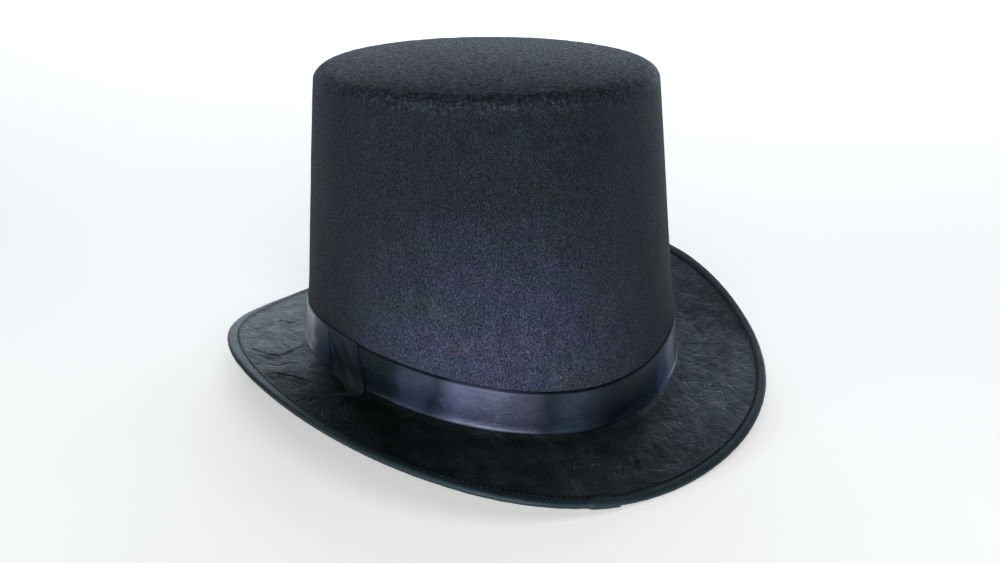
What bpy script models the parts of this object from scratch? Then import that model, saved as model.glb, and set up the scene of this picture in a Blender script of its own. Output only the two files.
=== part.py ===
"""Top hat: oval, tapered felt crown on a wired saddle-shaped brim, with a satin band and a lining.

The hat is first laid out as a plain round one: a crown wall of radius BLOCK_R, a flat brim whose top
face lies at z = 0, and a tip at z = CROWN_HEIGHT. Every ring-shaped piece is a profile of that round hat,
spun about Z. blocked() then does what the hatter's block does: it draws the round hat into its oval,
tapers the crown and curls the sides of the brim up. Front is -Y, the wearer's left is +X, up is +Z.
"""

import math

import bmesh
import bpy
from mathutils import Matrix, Vector

MM = 0.001

# Crown, outside of the felt, measured at the level of the join with the brim
CROWN_HALF_LONG = 103.0 * MM  # centre to front
CROWN_HALF_WIDE = 97.5 * MM  # centre to side
CROWN_HEIGHT = 150.3 * MM
TAPER_LONG = 0.1228  # share of the half length lost from the join to the tip
TAPER_WIDE = 0.1512
TIP_EDGE_R = 7.0 * MM  # rounding between the wall and the tip

# Brim, to the outside of its binding
BRIM_HALF_LONG = 151.6 * MM
BRIM_HALF_WIDE = 136.6 * MM
BRIM_SQUARENESS = -0.0043
EDGE_LEVEL = -0.5 * MM  # mean height of the brim's edge
EDGE_SADDLE = 15.2 * MM  # how far the sides rise above that mean, and the front and back fall below it
EDGE_RIPPLE = 0.8 * MM
# Unevenness of the hand-curled brim: millimetres of cos(k phi) and sin(k phi), for k from 1
EDGE_WAVE = ((0.23, 0.64), (-0.36, -0.46), (0.26, -0.62), (0.18, 0.34), (-0.67, 1.16))  # in its edge's height
RIM_WAVE = ((-0.06, 0.38), (-0.14, 0.01), (-0.03, -0.18), (-0.40, 0.08), (-0.54, 0.51))  # in its width
JOIN_LEVEL = 1.0 * MM  # mean height of the brim's top face at the crown
JOIN_SADDLE = 8.1 * MM
BRIM_CURL = 1.6  # power of the brim's rise from the crown to the edge
FILLET_R = 7.0 * MM  # where the brim turns up into the crown

# Thicknesses
FELT_T = 2.0 * MM
STIFFENER_T = 0.8 * MM
LINING_T = 0.4 * MM
COVER_T = 0.5 * MM  # upper and under brim covers
CORE_T = 0.5 * MM
BINDING_T = 0.3 * MM
RIBBON_T = 0.4 * MM
SWEATBAND_T = 0.9 * MM
GAP = 0.3 * MM  # clearance between neighbouring layers

# Trims
BINDING_WIDTH = 5.2 * MM
BINDING_LAP_START = math.radians(-21.0)  # where the tape's end covers its start
BINDING_LAP = math.radians(4.5)
WIRE_R = 0.5 * MM
WIRE_INSET = 1.55 * MM
JOINER_R = 0.9 * MM
JOINER_T = 0.25 * MM
JOINER_HALF = 7.0 * MM
THREAD_R = 0.2 * MM
BAND_HEIGHT = 20.5 * MM
BAND_LOW = 1.9 * MM  # bottom of the band above the brim's top face
WRAP_FROM = math.radians(-92.5)  # the short wrap over the band's ends, at its top
WRAP_TO = math.radians(-77.5)
WRAP_SKEW = math.radians(3.6)  # how far it has turned towards the front at the bottom
WRAP_TAIL = (1.1 * MM, 5.6 * MM)  # how far its rear and front corners lie out past where it meets the fillet
SWEATBAND_HEIGHT = 32.0 * MM
SWEATBAND_LAP = math.radians(5.0)
UPTURN = 12.5 * MM  # height of the brim covers' turned-up edge inside the crown
WALL_UNDER = FELT_T + GAP  # depth of the layer behind the felt

SEGMENTS = 48
HALF_STEP = math.pi / SEGMENTS
BLOCK_R = 100.0 * MM
REACH = 44.0 * MM  # brim width of the round layout
LAP_RISE = math.radians(3.0)  # a lapping end steps up over this angle
SHOULDER = 20.0 * MM  # past this far in from the wall the tip shrinks evenly to its centre

STACK = 2 * COVER_T + CORE_T + 2 * GAP
CORE_TOP = -(COVER_T + GAP)
UNDER_TOP = CORE_TOP - CORE_T - GAP
COVER_END = 2.8 * MM  # the covers and the core stop this far inside the brim's outline


def smooth(t):
    t = min(max(t, 0.0), 1.0)
    return t * t * (3 - 2 * t)


def join_height(phi):
    return JOIN_LEVEL - JOIN_SADDLE * math.cos(2 * phi)


def wave(terms, phi):
    return sum(a * math.cos(k * phi) + b * math.sin(k * phi) for k, (a, b) in enumerate(terms, 1)) * MM


def edge_height(phi):
    saddle = EDGE_LEVEL - EDGE_SADDLE * math.cos(2 * phi) + EDGE_RIPPLE * math.cos(4 * phi)
    return saddle + wave(EDGE_WAVE, phi) + STACK / 2


def crown_halves(z):
    t = z / CROWN_HEIGHT
    return CROWN_HALF_WIDE * (1 - TAPER_WIDE * t), CROWN_HALF_LONG * (1 - TAPER_LONG * t)


def brim_run(phi):
    """Unit direction from the crown to the brim's outline at this angle, and the distance."""
    square = 1 + BRIM_SQUARENESS * math.cos(4 * phi)
    wide, long = crown_halves(join_height(phi))
    x = (BRIM_HALF_WIDE * square - wide) * math.sin(phi)
    y = -(BRIM_HALF_LONG * square - long) * math.cos(phi)
    run = math.hypot(x, y)
    return x / run, y / run, run + wave(RIM_WAVE, phi)


def blocked(phi, out, z):
    """A point of the round layout on the finished hat: phi from the front, out from the crown's wall, and z."""
    settle = 1 - smooth((z - 30 * MM) / (85 * MM))
    level = z + join_height(phi) * settle
    wide, long = crown_halves(level)
    if out <= 0:
        if out > -SHOULDER:
            x, y = wide + out, long + out
        else:
            share = (BLOCK_R + out) / (BLOCK_R - SHOULDER)
            x, y = (wide - SHOULDER) * share, (long - SHOULDER) * share
        return Vector((x * math.sin(phi), -y * math.cos(phi), level))
    dx, dy, run = brim_run(phi)
    foot = crown_halves(join_height(phi))
    away = smooth(out / (10 * MM))
    wide, long = wide + (foot[0] - wide) * away, long + (foot[1] - long) * away
    out += (run - REACH) * smooth((out - 8 * MM) / (REACH - 15 * MM))
    start = FILLET_R - WALL_UNDER
    curl = max(0.0, (out - start) / (run - start)) ** BRIM_CURL
    return Vector(
        (
            wide * math.sin(phi) + out * dx,
            -long * math.cos(phi) + out * dy,
            level + (edge_height(phi) - join_height(phi)) * curl,
        )
    )


def brim_middle(phi, inset):
    """The middle of the brim's layers, this far inside its outline."""
    return blocked(phi, REACH - inset, -STACK / 2)


def brim_normal(phi):
    along = brim_middle(phi + 0.01, 0) - brim_middle(phi - 0.01, 0)
    outward = brim_middle(phi, 0) - brim_middle(phi, 3 * MM)
    return outward.cross(along).normalized()


def on_rim(phi, inset, above):
    return brim_middle(phi, inset) + brim_normal(phi) * above


def angles(start, end):
    """The ends of a stretch and the ring pieces' own corners between them, so that nested pieces have matching facets."""
    first = math.ceil((start - HALF_STEP) / (2 * HALF_STEP) + 0.02)
    last = math.floor((end - HALF_STEP) / (2 * HALF_STEP) - 0.02)
    return [start] + [HALF_STEP * (2 * i + 1) for i in range(first, last + 1)] + [end]


def lapped(start, lap):
    """Stations of a full turn whose end laps over its start, each with how far it has risen onto it, from 0 to 1."""
    turn = start + 2 * math.pi
    stations = angles(start, turn - LAP_RISE) + [turn - 0.1 * LAP_RISE] + angles(turn, turn + lap)[1:]
    return [(a, 0.0 if a < turn - 0.5 * LAP_RISE else 1.0) for a in stations]


def arc(centre_out, centre_z, radius, start, end, steps):
    """Points of an arc in the profile plane, angles in degrees from outwards towards up."""
    turn = [math.radians(start + (end - start) * i / steps) for i in range(steps + 1)]
    return [(centre_out + radius * math.cos(a), centre_z + radius * math.sin(a)) for a in turn]


# ---------------------------------------------------------------- scene

for old in list(bpy.data.objects):
    bpy.data.objects.remove(old, do_unlink=True)

hat = bpy.data.collections.new("top_hat")
bpy.context.scene.collection.children.link(hat)
base = bpy.data.objects.new("top_hat_base", None)
hat.objects.link(base)


def material(name, colour, roughness, metallic=0.0, sheen=0.0):
    m = bpy.data.materials.new(name)
    m.use_nodes = True
    shader = m.node_tree.nodes["Principled BSDF"]
    shader.inputs["Base Color"].default_value = (*colour, 1.0)
    shader.inputs["Roughness"].default_value = roughness
    shader.inputs["Metallic"].default_value = metallic
    shader.inputs["Sheen Weight"].default_value = sheen
    m.diffuse_color = (*colour, 1.0)
    return m


FELT = material("black_felt", (0.017, 0.020, 0.027), 0.95, sheen=0.3)
BRIM_FELT = material("brim_felt", (0.011, 0.015, 0.017), 0.85, sheen=0.2)
SATIN = material("navy_black_satin", (0.012, 0.012, 0.022), 0.35)
TAPE = material("binding_satin", (0.014, 0.026, 0.030), 0.45)
BUCKRAM = material("buckram", (0.10, 0.095, 0.085), 0.9)
BOARD = material("brim_board", (0.13, 0.12, 0.10), 0.9)
LINING = material("lining_satin", (0.020, 0.020, 0.024), 0.5)
SWEAT = material("sweatband_leatherette", (0.030, 0.026, 0.024), 0.6)
THREAD = material("black_thread", (0.012, 0.014, 0.018), 0.7)
STEEL = material("millinery_wire", (0.45, 0.45, 0.47), 0.35, metallic=1.0)
BRASS = material("joiner_brass", (0.55, 0.42, 0.20), 0.4, metallic=1.0)
LABEL = material("woven_label", (0.55, 0.54, 0.50), 0.8)


def finish(obj, look, sharp=35):
    obj.data.materials.append(look)
    if obj.type == "MESH":
        obj.data.shade_smooth()
        obj.data.set_sharp_from_angle(angle=math.radians(sharp))
    hat.objects.link(obj)
    obj.parent = base
    return obj


def thicken(obj, thickness):
    """Adds the thickness behind the face side."""
    shell = obj.modifiers.new("Thickness", "SOLIDIFY")
    shell.thickness = thickness
    shell.offset = -1
    shell.use_even_offset = True
    return obj


def spun(name, profile, look, thickness):
    """A ring piece: its face side's profile, (out, z) from the crown's wall, spun and blocked, then thickened.

    The face side is the one that looks up, or outwards on the tapered wall."""
    bm = bmesh.new()
    points = [bm.verts.new((0, -(BLOCK_R + out), z)) for out, z in profile]
    edges = [bm.edges.new(pair) for pair in zip(points, points[1:])]
    bmesh.ops.rotate(bm, verts=points, cent=(0, 0, 0), matrix=Matrix.Rotation(HALF_STEP, 3, "Z"))
    bmesh.ops.spin(
        bm, geom=points + edges, cent=(0, 0, 0), axis=(0, 0, 1), angle=2 * math.pi, steps=SEGMENTS, use_merge=True
    )
    bmesh.ops.remove_doubles(bm, verts=bm.verts, dist=1e-6)
    bmesh.ops.dissolve_degenerate(bm, edges=bm.edges, dist=1e-7)
    for v in bm.verts:
        r = math.hypot(v.co.x, v.co.y)
        phi = math.atan2(v.co.x, -v.co.y) if r > 1e-6 else 0.0
        v.co = blocked(phi, r - BLOCK_R, v.co.z)
    bm.normal_update()
    if sum(f.normal.z * f.calc_area() for f in bm.faces) < 0:
        bmesh.ops.reverse_faces(bm, faces=bm.faces)
    mesh = bpy.data.meshes.new(name)
    bm.to_mesh(mesh)
    bm.free()
    return thicken(finish(bpy.data.objects.new(name, mesh), look), thickness)


def strip(name, rows, look, thickness, flip=False, tube=False):
    """A strip of cloth or tape: rows of points across it, one row for each station along it, then thickened."""
    bm = bmesh.new()
    grid = [[bm.verts.new(p) for p in row] for row in rows]
    across = len(rows[0])
    for a, b in zip(grid, grid[1:]):
        for j in range(across if tube else across - 1):
            k = (j + 1) % across
            bm.faces.new((a[j], b[j], b[k], a[k]))
    if flip:
        bmesh.ops.reverse_faces(bm, faces=bm.faces)
    mesh = bpy.data.meshes.new(name)
    bm.to_mesh(mesh)
    bm.free()
    return thicken(finish(bpy.data.objects.new(name, mesh), look), thickness)


def strand(name, points, radius, look, closed=True, sides=0):
    """A thread or wire: a poly curve with a round bevel."""
    curve = bpy.data.curves.new(name, "CURVE")
    curve.dimensions = "3D"
    curve.bevel_depth = radius
    curve.bevel_resolution = sides
    curve.use_fill_caps = not closed
    line = curve.splines.new("POLY")
    line.points.add(len(points) - 1)
    for slot, p in zip(line.points, points):
        slot.co = (*p, 1.0)
    line.use_cyclic_u = closed
    line.use_smooth = True
    return finish(bpy.data.objects.new(name, curve), look)


RING = [HALF_STEP * (2 * i + 1) for i in range(SEGMENTS)]

# ---------------------------------------------------------------- crown

# All the crown's layers turn over into the tip about one centre, so they nest.
TURN_OUT, TURN_Z = -TIP_EDGE_R, CROWN_HEIGHT - TIP_EDGE_R


def crown_profile(depth, low):
    """Face line of a crown layer this deep behind the felt's face, from its lower edge up over the tip to the centre."""
    radius = TIP_EDGE_R - depth
    line = [(-depth, low), (-depth, 60 * MM)]
    line += arc(TURN_OUT, TURN_Z, radius, 0, 90, 4)
    line += [(-SHOULDER, TURN_Z + radius), (-60 * MM, TURN_Z + radius), (-BLOCK_R, TURN_Z + radius)]
    return line


spun("crown_felt", crown_profile(0, 5.9 * MM), FELT, FELT_T)
spun("crown_stiffener", crown_profile(WALL_UNDER, UPTURN + 1 * MM), BUCKRAM, STIFFENER_T)

# ---------------------------------------------------------------- brim


def brim_profile(top, fillet, wall, start):
    """Face line of a brim cover: its edge turned up inside the crown, the fillet, and the flat brim."""
    line = [(-wall, UPTURN), (-wall, top + fillet)]
    line += arc(-wall + fillet, top + fillet, fillet, 180, 270, 5)[1:]
    flat = REACH - COVER_END
    line += [(start + (flat - start) * i / 4, top) for i in range(1, 5)]
    return line


CORNER = FILLET_R - WALL_UNDER
spun("brim_top_cover", brim_profile(0, FILLET_R, WALL_UNDER, CORNER), BRIM_FELT, COVER_T)
UNDER_WALL = WALL_UNDER + COVER_T + GAP
spun(
    "brim_under_cover",
    brim_profile(UNDER_TOP, CORNER + UNDER_WALL, UNDER_WALL, CORNER),
    BRIM_FELT,
    COVER_T,
)
core_line = [(6 * MM + (REACH - COVER_END - 6 * MM) * i / 4, CORE_TOP) for i in range(5)]
spun("brim_core", core_line, BOARD, CORE_T)

# The wire runs round in the fold of the binding, and its ends meet in a joiner at the back.
WIRE_JOINT = math.pi - HALF_STEP
WIRE_GAP = math.radians(0.3)
wire_line = [
    on_rim(a, WIRE_INSET, 0) for a in angles(WIRE_JOINT - 2 * math.pi + WIRE_GAP, WIRE_JOINT - WIRE_GAP)
]
strand("brim_wire", wire_line, WIRE_R, STEEL, closed=False, sides=2)


def ring_about(centre, line, radius, sides=10):
    """A circle about a point, square to a line."""
    line = line.normalized()
    up = (brim_normal(WIRE_JOINT) - line * brim_normal(WIRE_JOINT).dot(line)).normalized()
    side = line.cross(up)
    turns = [2 * math.pi * i / sides for i in range(sides)]
    return [centre + (up * math.sin(t) + side * math.cos(t)) * radius for t in turns]


before, after = (wire_line[-1] - wire_line[-2]).normalized(), (wire_line[1] - wire_line[0]).normalized()
strip(
    "wire_joiner",
    [
        ring_about(wire_line[-1] - before * JOINER_HALF, before, JOINER_R),
        ring_about(wire_line[-1], before, JOINER_R),
        ring_about(wire_line[0], after, JOINER_R),
        ring_about(wire_line[0] + after * JOINER_HALF, after, JOINER_R),
    ],
    BRASS,
    JOINER_T,
    tube=True,
)

# The binding is a tape folded over the brim's edge; its end laps over its start.
FOLD_H = STACK / 2 + GAP + BINDING_T  # half the folded binding's height


def binding_row(phi, lift):
    half = FOLD_H + lift
    row = [(BINDING_WIDTH, half)]
    for i in range(7):
        turn = math.radians(90 - 30 * i)
        row.append((FOLD_H - half * math.cos(turn), half * math.sin(turn)))
    row.append((BINDING_WIDTH, -half))
    return [on_rim(phi, inset, above) for inset, above in row]


binding_rows = [
    binding_row(a, rise * (BINDING_T + GAP)) for a, rise in lapped(BINDING_LAP_START, BINDING_LAP)
]
strip("edge_binding", binding_rows, TAPE, BINDING_T, flip=True)

# Lockstitch along the inner edges of the binding, one thread above the brim and one below.
STITCH_INSET = BINDING_WIDTH + GAP + THREAD_R
STITCH_ABOVE = STACK / 2 + GAP + THREAD_R
strand("binding_thread_upper", [on_rim(a, STITCH_INSET, STITCH_ABOVE) for a in RING], THREAD_R, THREAD)
strand("binding_thread_under", [on_rim(a, STITCH_INSET, -STITCH_ABOVE) for a in RING], THREAD_R, THREAD)

# The seam through the turned-up edges that holds the brim to the crown, hidden behind the sweatband.
SEAM_DEPTH = UNDER_WALL + COVER_T + GAP + THREAD_R
strand("crown_brim_seam_thread", [blocked(a, -SEAM_DEPTH, 8.5 * MM) for a in RING], THREAD_R, THREAD)

# ---------------------------------------------------------------- inside

LINING_DEPTH = WALL_UNDER + STIFFENER_T + GAP
LINING_SEAM_Z = TURN_Z - 0.5 * MM
spun(
    "lining_side",
    [(-LINING_DEPTH, 16 * MM), (-LINING_DEPTH, 60 * MM), (-LINING_DEPTH, LINING_SEAM_Z)],
    LINING,
    LINING_T,
)
tip_line = arc(TURN_OUT, TURN_Z, TIP_EDGE_R - LINING_DEPTH, 0, 90, 3)
tip_top = TURN_Z + TIP_EDGE_R - LINING_DEPTH
tip_line += [(-SHOULDER, tip_top), (-60 * MM, tip_top), (-BLOCK_R, tip_top)]
spun("lining_tip", tip_line, LINING, LINING_T)
strand(
    "lining_seam_thread",
    [blocked(a, -(LINING_DEPTH + LINING_T + GAP + THREAD_R), LINING_SEAM_Z - THREAD_R) for a in RING],
    THREAD_R,
    THREAD,
)

# The sweatband is a strip whose ends lap at the back.
SWEAT_DEPTH = SEAM_DEPTH + THREAD_R + GAP
SWEAT_LOW = 1.0 * MM
sweat_from = -math.pi - SWEATBAND_LAP / 2
sweat_rows = []
for a, deeper in lapped(sweat_from, SWEATBAND_LAP):
    depth = SWEAT_DEPTH + deeper * (SWEATBAND_T + GAP)
    heights = [SWEAT_LOW, SWEAT_LOW + 6 * MM, SWEAT_LOW + SWEATBAND_HEIGHT]
    sweat_rows.append([blocked(a, -depth, h) for h in heights])
strip("sweatband", sweat_rows, SWEAT, SWEATBAND_T)

stitch_in = SWEAT_DEPTH + SWEATBAND_T + GAP + THREAD_R
stitch_from, stitch_to = sweat_from + SWEATBAND_LAP + LAP_RISE, sweat_from + 2 * math.pi - 2 * LAP_RISE
strand(
    "sweatband_thread",
    [blocked(a, -stitch_in, SWEAT_LOW + 3 * MM) for a in angles(stitch_from, stitch_to)],
    THREAD_R,
    THREAD,
    closed=False,
)

label_rows = []
for a in (math.radians(160), math.radians(163.5), math.radians(167)):
    depth = SWEAT_DEPTH + SWEATBAND_T + 2 * GAP
    label_rows.append([blocked(a, -depth, h * MM) for h in (6.5, 14, 22)])
strip("care_label", label_rows, LABEL, 0.3 * MM)

# ---------------------------------------------------------------- hatband

JOIN_AT = (WRAP_FROM + WRAP_TO) / 2  # the band's two ends meet under the wrap
band_rows = []
for a in angles(JOIN_AT + math.radians(0.25), JOIN_AT + 2 * math.pi - math.radians(0.25)):
    heights = [BAND_LOW, BAND_LOW + BAND_HEIGHT / 2, BAND_LOW + BAND_HEIGHT]
    band_rows.append([blocked(a, GAP + RIBBON_T, h) for h in heights])
strip("hatband_ribbon", band_rows, SATIN, RIBBON_T)

# The wrap hooks over the band's upper edge, covers the join, and its lower end lies out on the fillet.
WRAP_OUT = 2 * (GAP + RIBBON_T)
WRAP_TOP = BAND_LOW + BAND_HEIGHT + GAP + RIBBON_T
REST_R = FILLET_R - GAP - RIBBON_T
meet = math.acos((CORNER - WRAP_OUT) / REST_R)  # where the wrap's face comes down onto the fillet


def resting(along):
    """A point of the wrap this far on from where it meets the fillet: over the rest of the fillet, then out on the brim."""
    turn = meet + along / REST_R
    if turn > math.pi / 2:
        return CORNER + along - (math.pi / 2 - meet) * REST_R, FILLET_R - REST_R
    return CORNER - REST_R * math.cos(turn), FILLET_R - REST_R * math.sin(turn)


wrap_rows = []
for i in range(5):
    share = i / 4
    tail = WRAP_TAIL[0] + (WRAP_TAIL[1] - WRAP_TAIL[0]) * share**1.6
    row = [(GAP + 0.1 * MM, WRAP_TOP), (WRAP_OUT, WRAP_TOP), (WRAP_OUT, 14 * MM), (WRAP_OUT, 6 * MM)]
    row += [resting(tail * k / 4) for k in range(5)]
    a = WRAP_FROM + (WRAP_TO - WRAP_FROM) * share
    wrap_rows.append([blocked(a + WRAP_SKEW * (1 - z / WRAP_TOP), out, z) for out, z in row])
strip("band_join_wrap", wrap_rows, SATIN, RIBBON_T, flip=True)

# ---------------------------------------------------------------- stand the hat on its brim

bpy.context.view_layer.update()
graph = bpy.context.evaluated_depsgraph_get()
lowest = min((v.co.z for v in hat.objects["edge_binding"].evaluated_get(graph).data.vertices))
base.location.z = -lowest
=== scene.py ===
"""Looks for the top hat: felt, satin, tape, stitching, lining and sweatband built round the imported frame.

The hat is laid out as a plain round one and drawn onto its block by blocked(), as in the CAD source, so every
detailed piece here lies where its CAD solid lies. phi is the angle from the front (-Y) towards +X, out is the
distance outwards from the crown's wall, and z is the height above the brim's top face at the crown.
"""

import math

import bpy
import numpy as np
from mathutils import Matrix, Vector


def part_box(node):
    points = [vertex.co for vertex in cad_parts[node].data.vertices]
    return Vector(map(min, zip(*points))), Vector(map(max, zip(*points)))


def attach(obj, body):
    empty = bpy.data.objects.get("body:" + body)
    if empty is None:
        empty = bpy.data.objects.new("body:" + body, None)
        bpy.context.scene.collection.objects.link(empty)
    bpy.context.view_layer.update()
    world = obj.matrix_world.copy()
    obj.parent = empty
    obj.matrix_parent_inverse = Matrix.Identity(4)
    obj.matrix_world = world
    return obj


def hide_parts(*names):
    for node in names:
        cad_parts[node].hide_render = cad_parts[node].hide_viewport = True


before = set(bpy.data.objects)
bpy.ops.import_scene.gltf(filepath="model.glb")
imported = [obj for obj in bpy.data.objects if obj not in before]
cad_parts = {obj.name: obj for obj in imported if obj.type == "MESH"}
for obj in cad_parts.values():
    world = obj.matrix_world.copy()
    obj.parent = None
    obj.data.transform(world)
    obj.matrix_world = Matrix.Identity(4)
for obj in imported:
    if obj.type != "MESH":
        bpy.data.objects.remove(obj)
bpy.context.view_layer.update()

MM = 0.001
CROWN_HALF_LONG, CROWN_HALF_WIDE, CROWN_HEIGHT = 103.0 * MM, 97.5 * MM, 150.3 * MM
TAPER_LONG, TAPER_WIDE, TIP_EDGE_R = 0.1228, 0.1512, 7.0 * MM
BRIM_HALF_LONG, BRIM_HALF_WIDE, BRIM_SQUARENESS = 151.6 * MM, 136.6 * MM, -0.0043
EDGE_LEVEL, EDGE_SADDLE, EDGE_RIPPLE = -0.5 * MM, 15.2 * MM, 0.8 * MM
EDGE_WAVE = ((0.23, 0.64), (-0.36, -0.46), (0.26, -0.62), (0.18, 0.34), (-0.67, 1.16))
RIM_WAVE = ((-0.06, 0.38), (-0.14, 0.01), (-0.03, -0.18), (-0.40, 0.08), (-0.54, 0.51))
JOIN_LEVEL, JOIN_SADDLE, BRIM_CURL, FILLET_R = 1.0 * MM, 8.1 * MM, 1.6, 7.0 * MM
FELT_T, STIFFENER_T, LINING_T, COVER_T, CORE_T = 2.0 * MM, 0.8 * MM, 0.4 * MM, 0.5 * MM, 0.5 * MM
BINDING_T, RIBBON_T, SWEATBAND_T, GAP = 0.3 * MM, 0.4 * MM, 0.9 * MM, 0.3 * MM
BINDING_WIDTH, BINDING_LAP_START, BINDING_LAP = 5.2 * MM, math.radians(-21.0), math.radians(4.5)
BAND_HEIGHT, BAND_LOW = 20.5 * MM, 1.9 * MM
WRAP_FROM, WRAP_TO, WRAP_SKEW = math.radians(-92.5), math.radians(-77.5), math.radians(3.6)
SWEATBAND_HEIGHT, SWEATBAND_LAP, SWEAT_LOW = 32.0 * MM, math.radians(5.0), 1.0 * MM
UPTURN, WALL_UNDER, BLOCK_R, REACH, SHOULDER = 12.5 * MM, FELT_T + GAP, 100.0 * MM, 44.0 * MM, 20.0 * MM
STACK = 2 * COVER_T + CORE_T + 2 * GAP
UNDER_TOP = -(COVER_T + GAP) - CORE_T - GAP
COVER_END, THREAD_R = 2.8 * MM, 0.2 * MM
CORNER = FILLET_R - WALL_UNDER
UNDER_WALL = WALL_UNDER + COVER_T + GAP
LINING_DEPTH = WALL_UNDER + STIFFENER_T + GAP
SEAM_DEPTH = UNDER_WALL + COVER_T + GAP + THREAD_R
SWEAT_DEPTH = SEAM_DEPTH + THREAD_R + GAP
TURN_OUT, TURN_Z = -TIP_EDGE_R, CROWN_HEIGHT - TIP_EDGE_R
LINING_SEAM_Z = TURN_Z - 0.5 * MM
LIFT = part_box("crown_felt")[1].z - CROWN_HEIGHT
PI = math.pi

# ---------------------------------------------------------------- the block


def smooth(t):
    t = np.clip(t, 0.0, 1.0)
    return t * t * (3 - 2 * t)


def join_height(phi):
    return JOIN_LEVEL - JOIN_SADDLE * np.cos(2 * phi)


def wave(terms, phi):
    return sum(a * np.cos(k * phi) + b * np.sin(k * phi) for k, (a, b) in enumerate(terms, 1)) * MM


def edge_height(phi):
    saddle = EDGE_LEVEL - EDGE_SADDLE * np.cos(2 * phi) + EDGE_RIPPLE * np.cos(4 * phi)
    return saddle + wave(EDGE_WAVE, phi) + STACK / 2


def crown_halves(z):
    t = z / CROWN_HEIGHT
    return CROWN_HALF_WIDE * (1 - TAPER_WIDE * t), CROWN_HALF_LONG * (1 - TAPER_LONG * t)


def brim_run(phi):
    square = 1 + BRIM_SQUARENESS * np.cos(4 * phi)
    wide, long = crown_halves(join_height(phi))
    x = (BRIM_HALF_WIDE * square - wide) * np.sin(phi)
    y = -(BRIM_HALF_LONG * square - long) * np.cos(phi)
    run = np.hypot(x, y)
    return x / run, y / run, run + wave(RIM_WAVE, phi)


def blocked(phi, out, z):
    """Points of the round layout on the finished hat, as an array of (..., 3) in the row frame."""
    phi, out, z = np.broadcast_arrays(*(np.asarray(a, float) for a in (phi, out, z)))
    level = z + join_height(phi) * (1 - smooth((z - 30 * MM) / (85 * MM)))
    wide, long = crown_halves(level)
    share = (BLOCK_R + out) / (BLOCK_R - SHOULDER)
    near = out > -SHOULDER
    x_in = np.where(near, wide + out, (wide - SHOULDER) * share) * np.sin(phi)
    y_in = -np.where(near, long + out, (long - SHOULDER) * share) * np.cos(phi)
    dx, dy, run = brim_run(phi)
    foot_wide, foot_long = crown_halves(join_height(phi))
    away = smooth(out / (10 * MM))
    wide, long = wide + (foot_wide - wide) * away, long + (foot_long - long) * away
    reach = out + (run - REACH) * smooth((out - 8 * MM) / (REACH - 15 * MM))
    start = FILLET_R - WALL_UNDER
    curl = np.maximum(0.0, (reach - start) / (run - start)) ** BRIM_CURL
    inside = out <= 0
    x = np.where(inside, x_in, wide * np.sin(phi) + reach * dx)
    y = np.where(inside, y_in, -long * np.cos(phi) + reach * dy)
    rise = np.where(inside, 0.0, (edge_height(phi) - join_height(phi)) * curl)
    return np.stack([x, y, level + rise + LIFT], axis=-1)


def brim_middle(phi, inset):
    return blocked(phi, REACH - inset, -STACK / 2)


def unit(v):
    return v / np.maximum(np.linalg.norm(v, axis=-1, keepdims=True), 1e-12)


def brim_normal(phi):
    along = brim_middle(phi + 0.01, 0) - brim_middle(phi - 0.01, 0)
    outward = brim_middle(phi, 0) - brim_middle(phi, 3 * MM)
    return unit(np.cross(outward, along))


def on_rim(phi, inset, above):
    phi, inset, above = np.broadcast_arrays(*(np.asarray(a, float) for a in (phi, inset, above)))
    return brim_middle(phi, inset) + brim_normal(phi) * above[..., None]


# ---------------------------------------------------------------- noise for shapes

_mixed = np.random.default_rng(20).permutation(256)
_slopes = unit(np.random.default_rng(21).normal(size=(256, 3)))


def lumps(points, size, seed=0):
    """Smooth gradient noise, about -1 to 1. size is a lump's size in metres, one number or one for each axis."""
    p = np.asarray(points, float) / np.asarray(size, float) + 17.37 * (seed + 1)
    cell = np.floor(p).astype(np.int64)
    f = p - cell
    u = f**3 * (f * (f * 6 - 15) + 10)
    total = np.zeros(p.shape[:-1])
    for dx in (0, 1):
        for dy in (0, 1):
            for dz in (0, 1):
                h = _mixed[(cell[..., 0] + dx) & 255]
                h = _mixed[(h + cell[..., 1] + dy) & 255]
                h = _mixed[(h + cell[..., 2] + dz) & 255]
                weight = np.ones(p.shape[:-1])
                for k, d in enumerate((dx, dy, dz)):
                    weight = weight * (u[..., k] if d else 1 - u[..., k])
                total += weight * (_slopes[h] * (f - (dx, dy, dz))).sum(-1)
    return total * 1.7


def layered(points, size, octaves=3, seed=0):
    return sum(
        lumps(points, np.asarray(size, float) / 2**i, seed + 5 * i) * 0.5**i for i in range(octaves)
    ) / 1.5


# ---------------------------------------------------------------- meshes


def object_of(name, points, faces, look, lay=None, sharp=50):
    """A mesh object in the row frame. A closed mesh is turned to face out."""
    points = np.asarray(points, float)
    volume = 0.0
    for block in faces:
        block = np.asarray(block)
        a = points[block[:, 0]]
        for k in range(1, block.shape[1] - 1):
            volume += np.einsum("ij,ij->", a, np.cross(points[block[:, k]], points[block[:, k + 1]]))
    mesh = bpy.data.meshes.new(name)
    rows = []
    for block in faces:
        block = np.asarray(block)
        rows += (block[:, ::-1] if volume < 0 else block).tolist()
    mesh.from_pydata(points.tolist(), [], rows)
    if lay is not None:
        slot = mesh.attributes.new("lay", "FLOAT_VECTOR", "POINT")
        slot.data.foreach_set("vector", np.asarray(lay, np.float32).ravel())
    mesh.validate()
    mesh.shade_smooth()
    mesh.set_sharp_from_angle(angle=math.radians(sharp))
    mesh.materials.append(look)
    obj = bpy.data.objects.new(name, mesh)
    bpy.context.scene.collection.objects.link(obj)
    return obj


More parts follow.
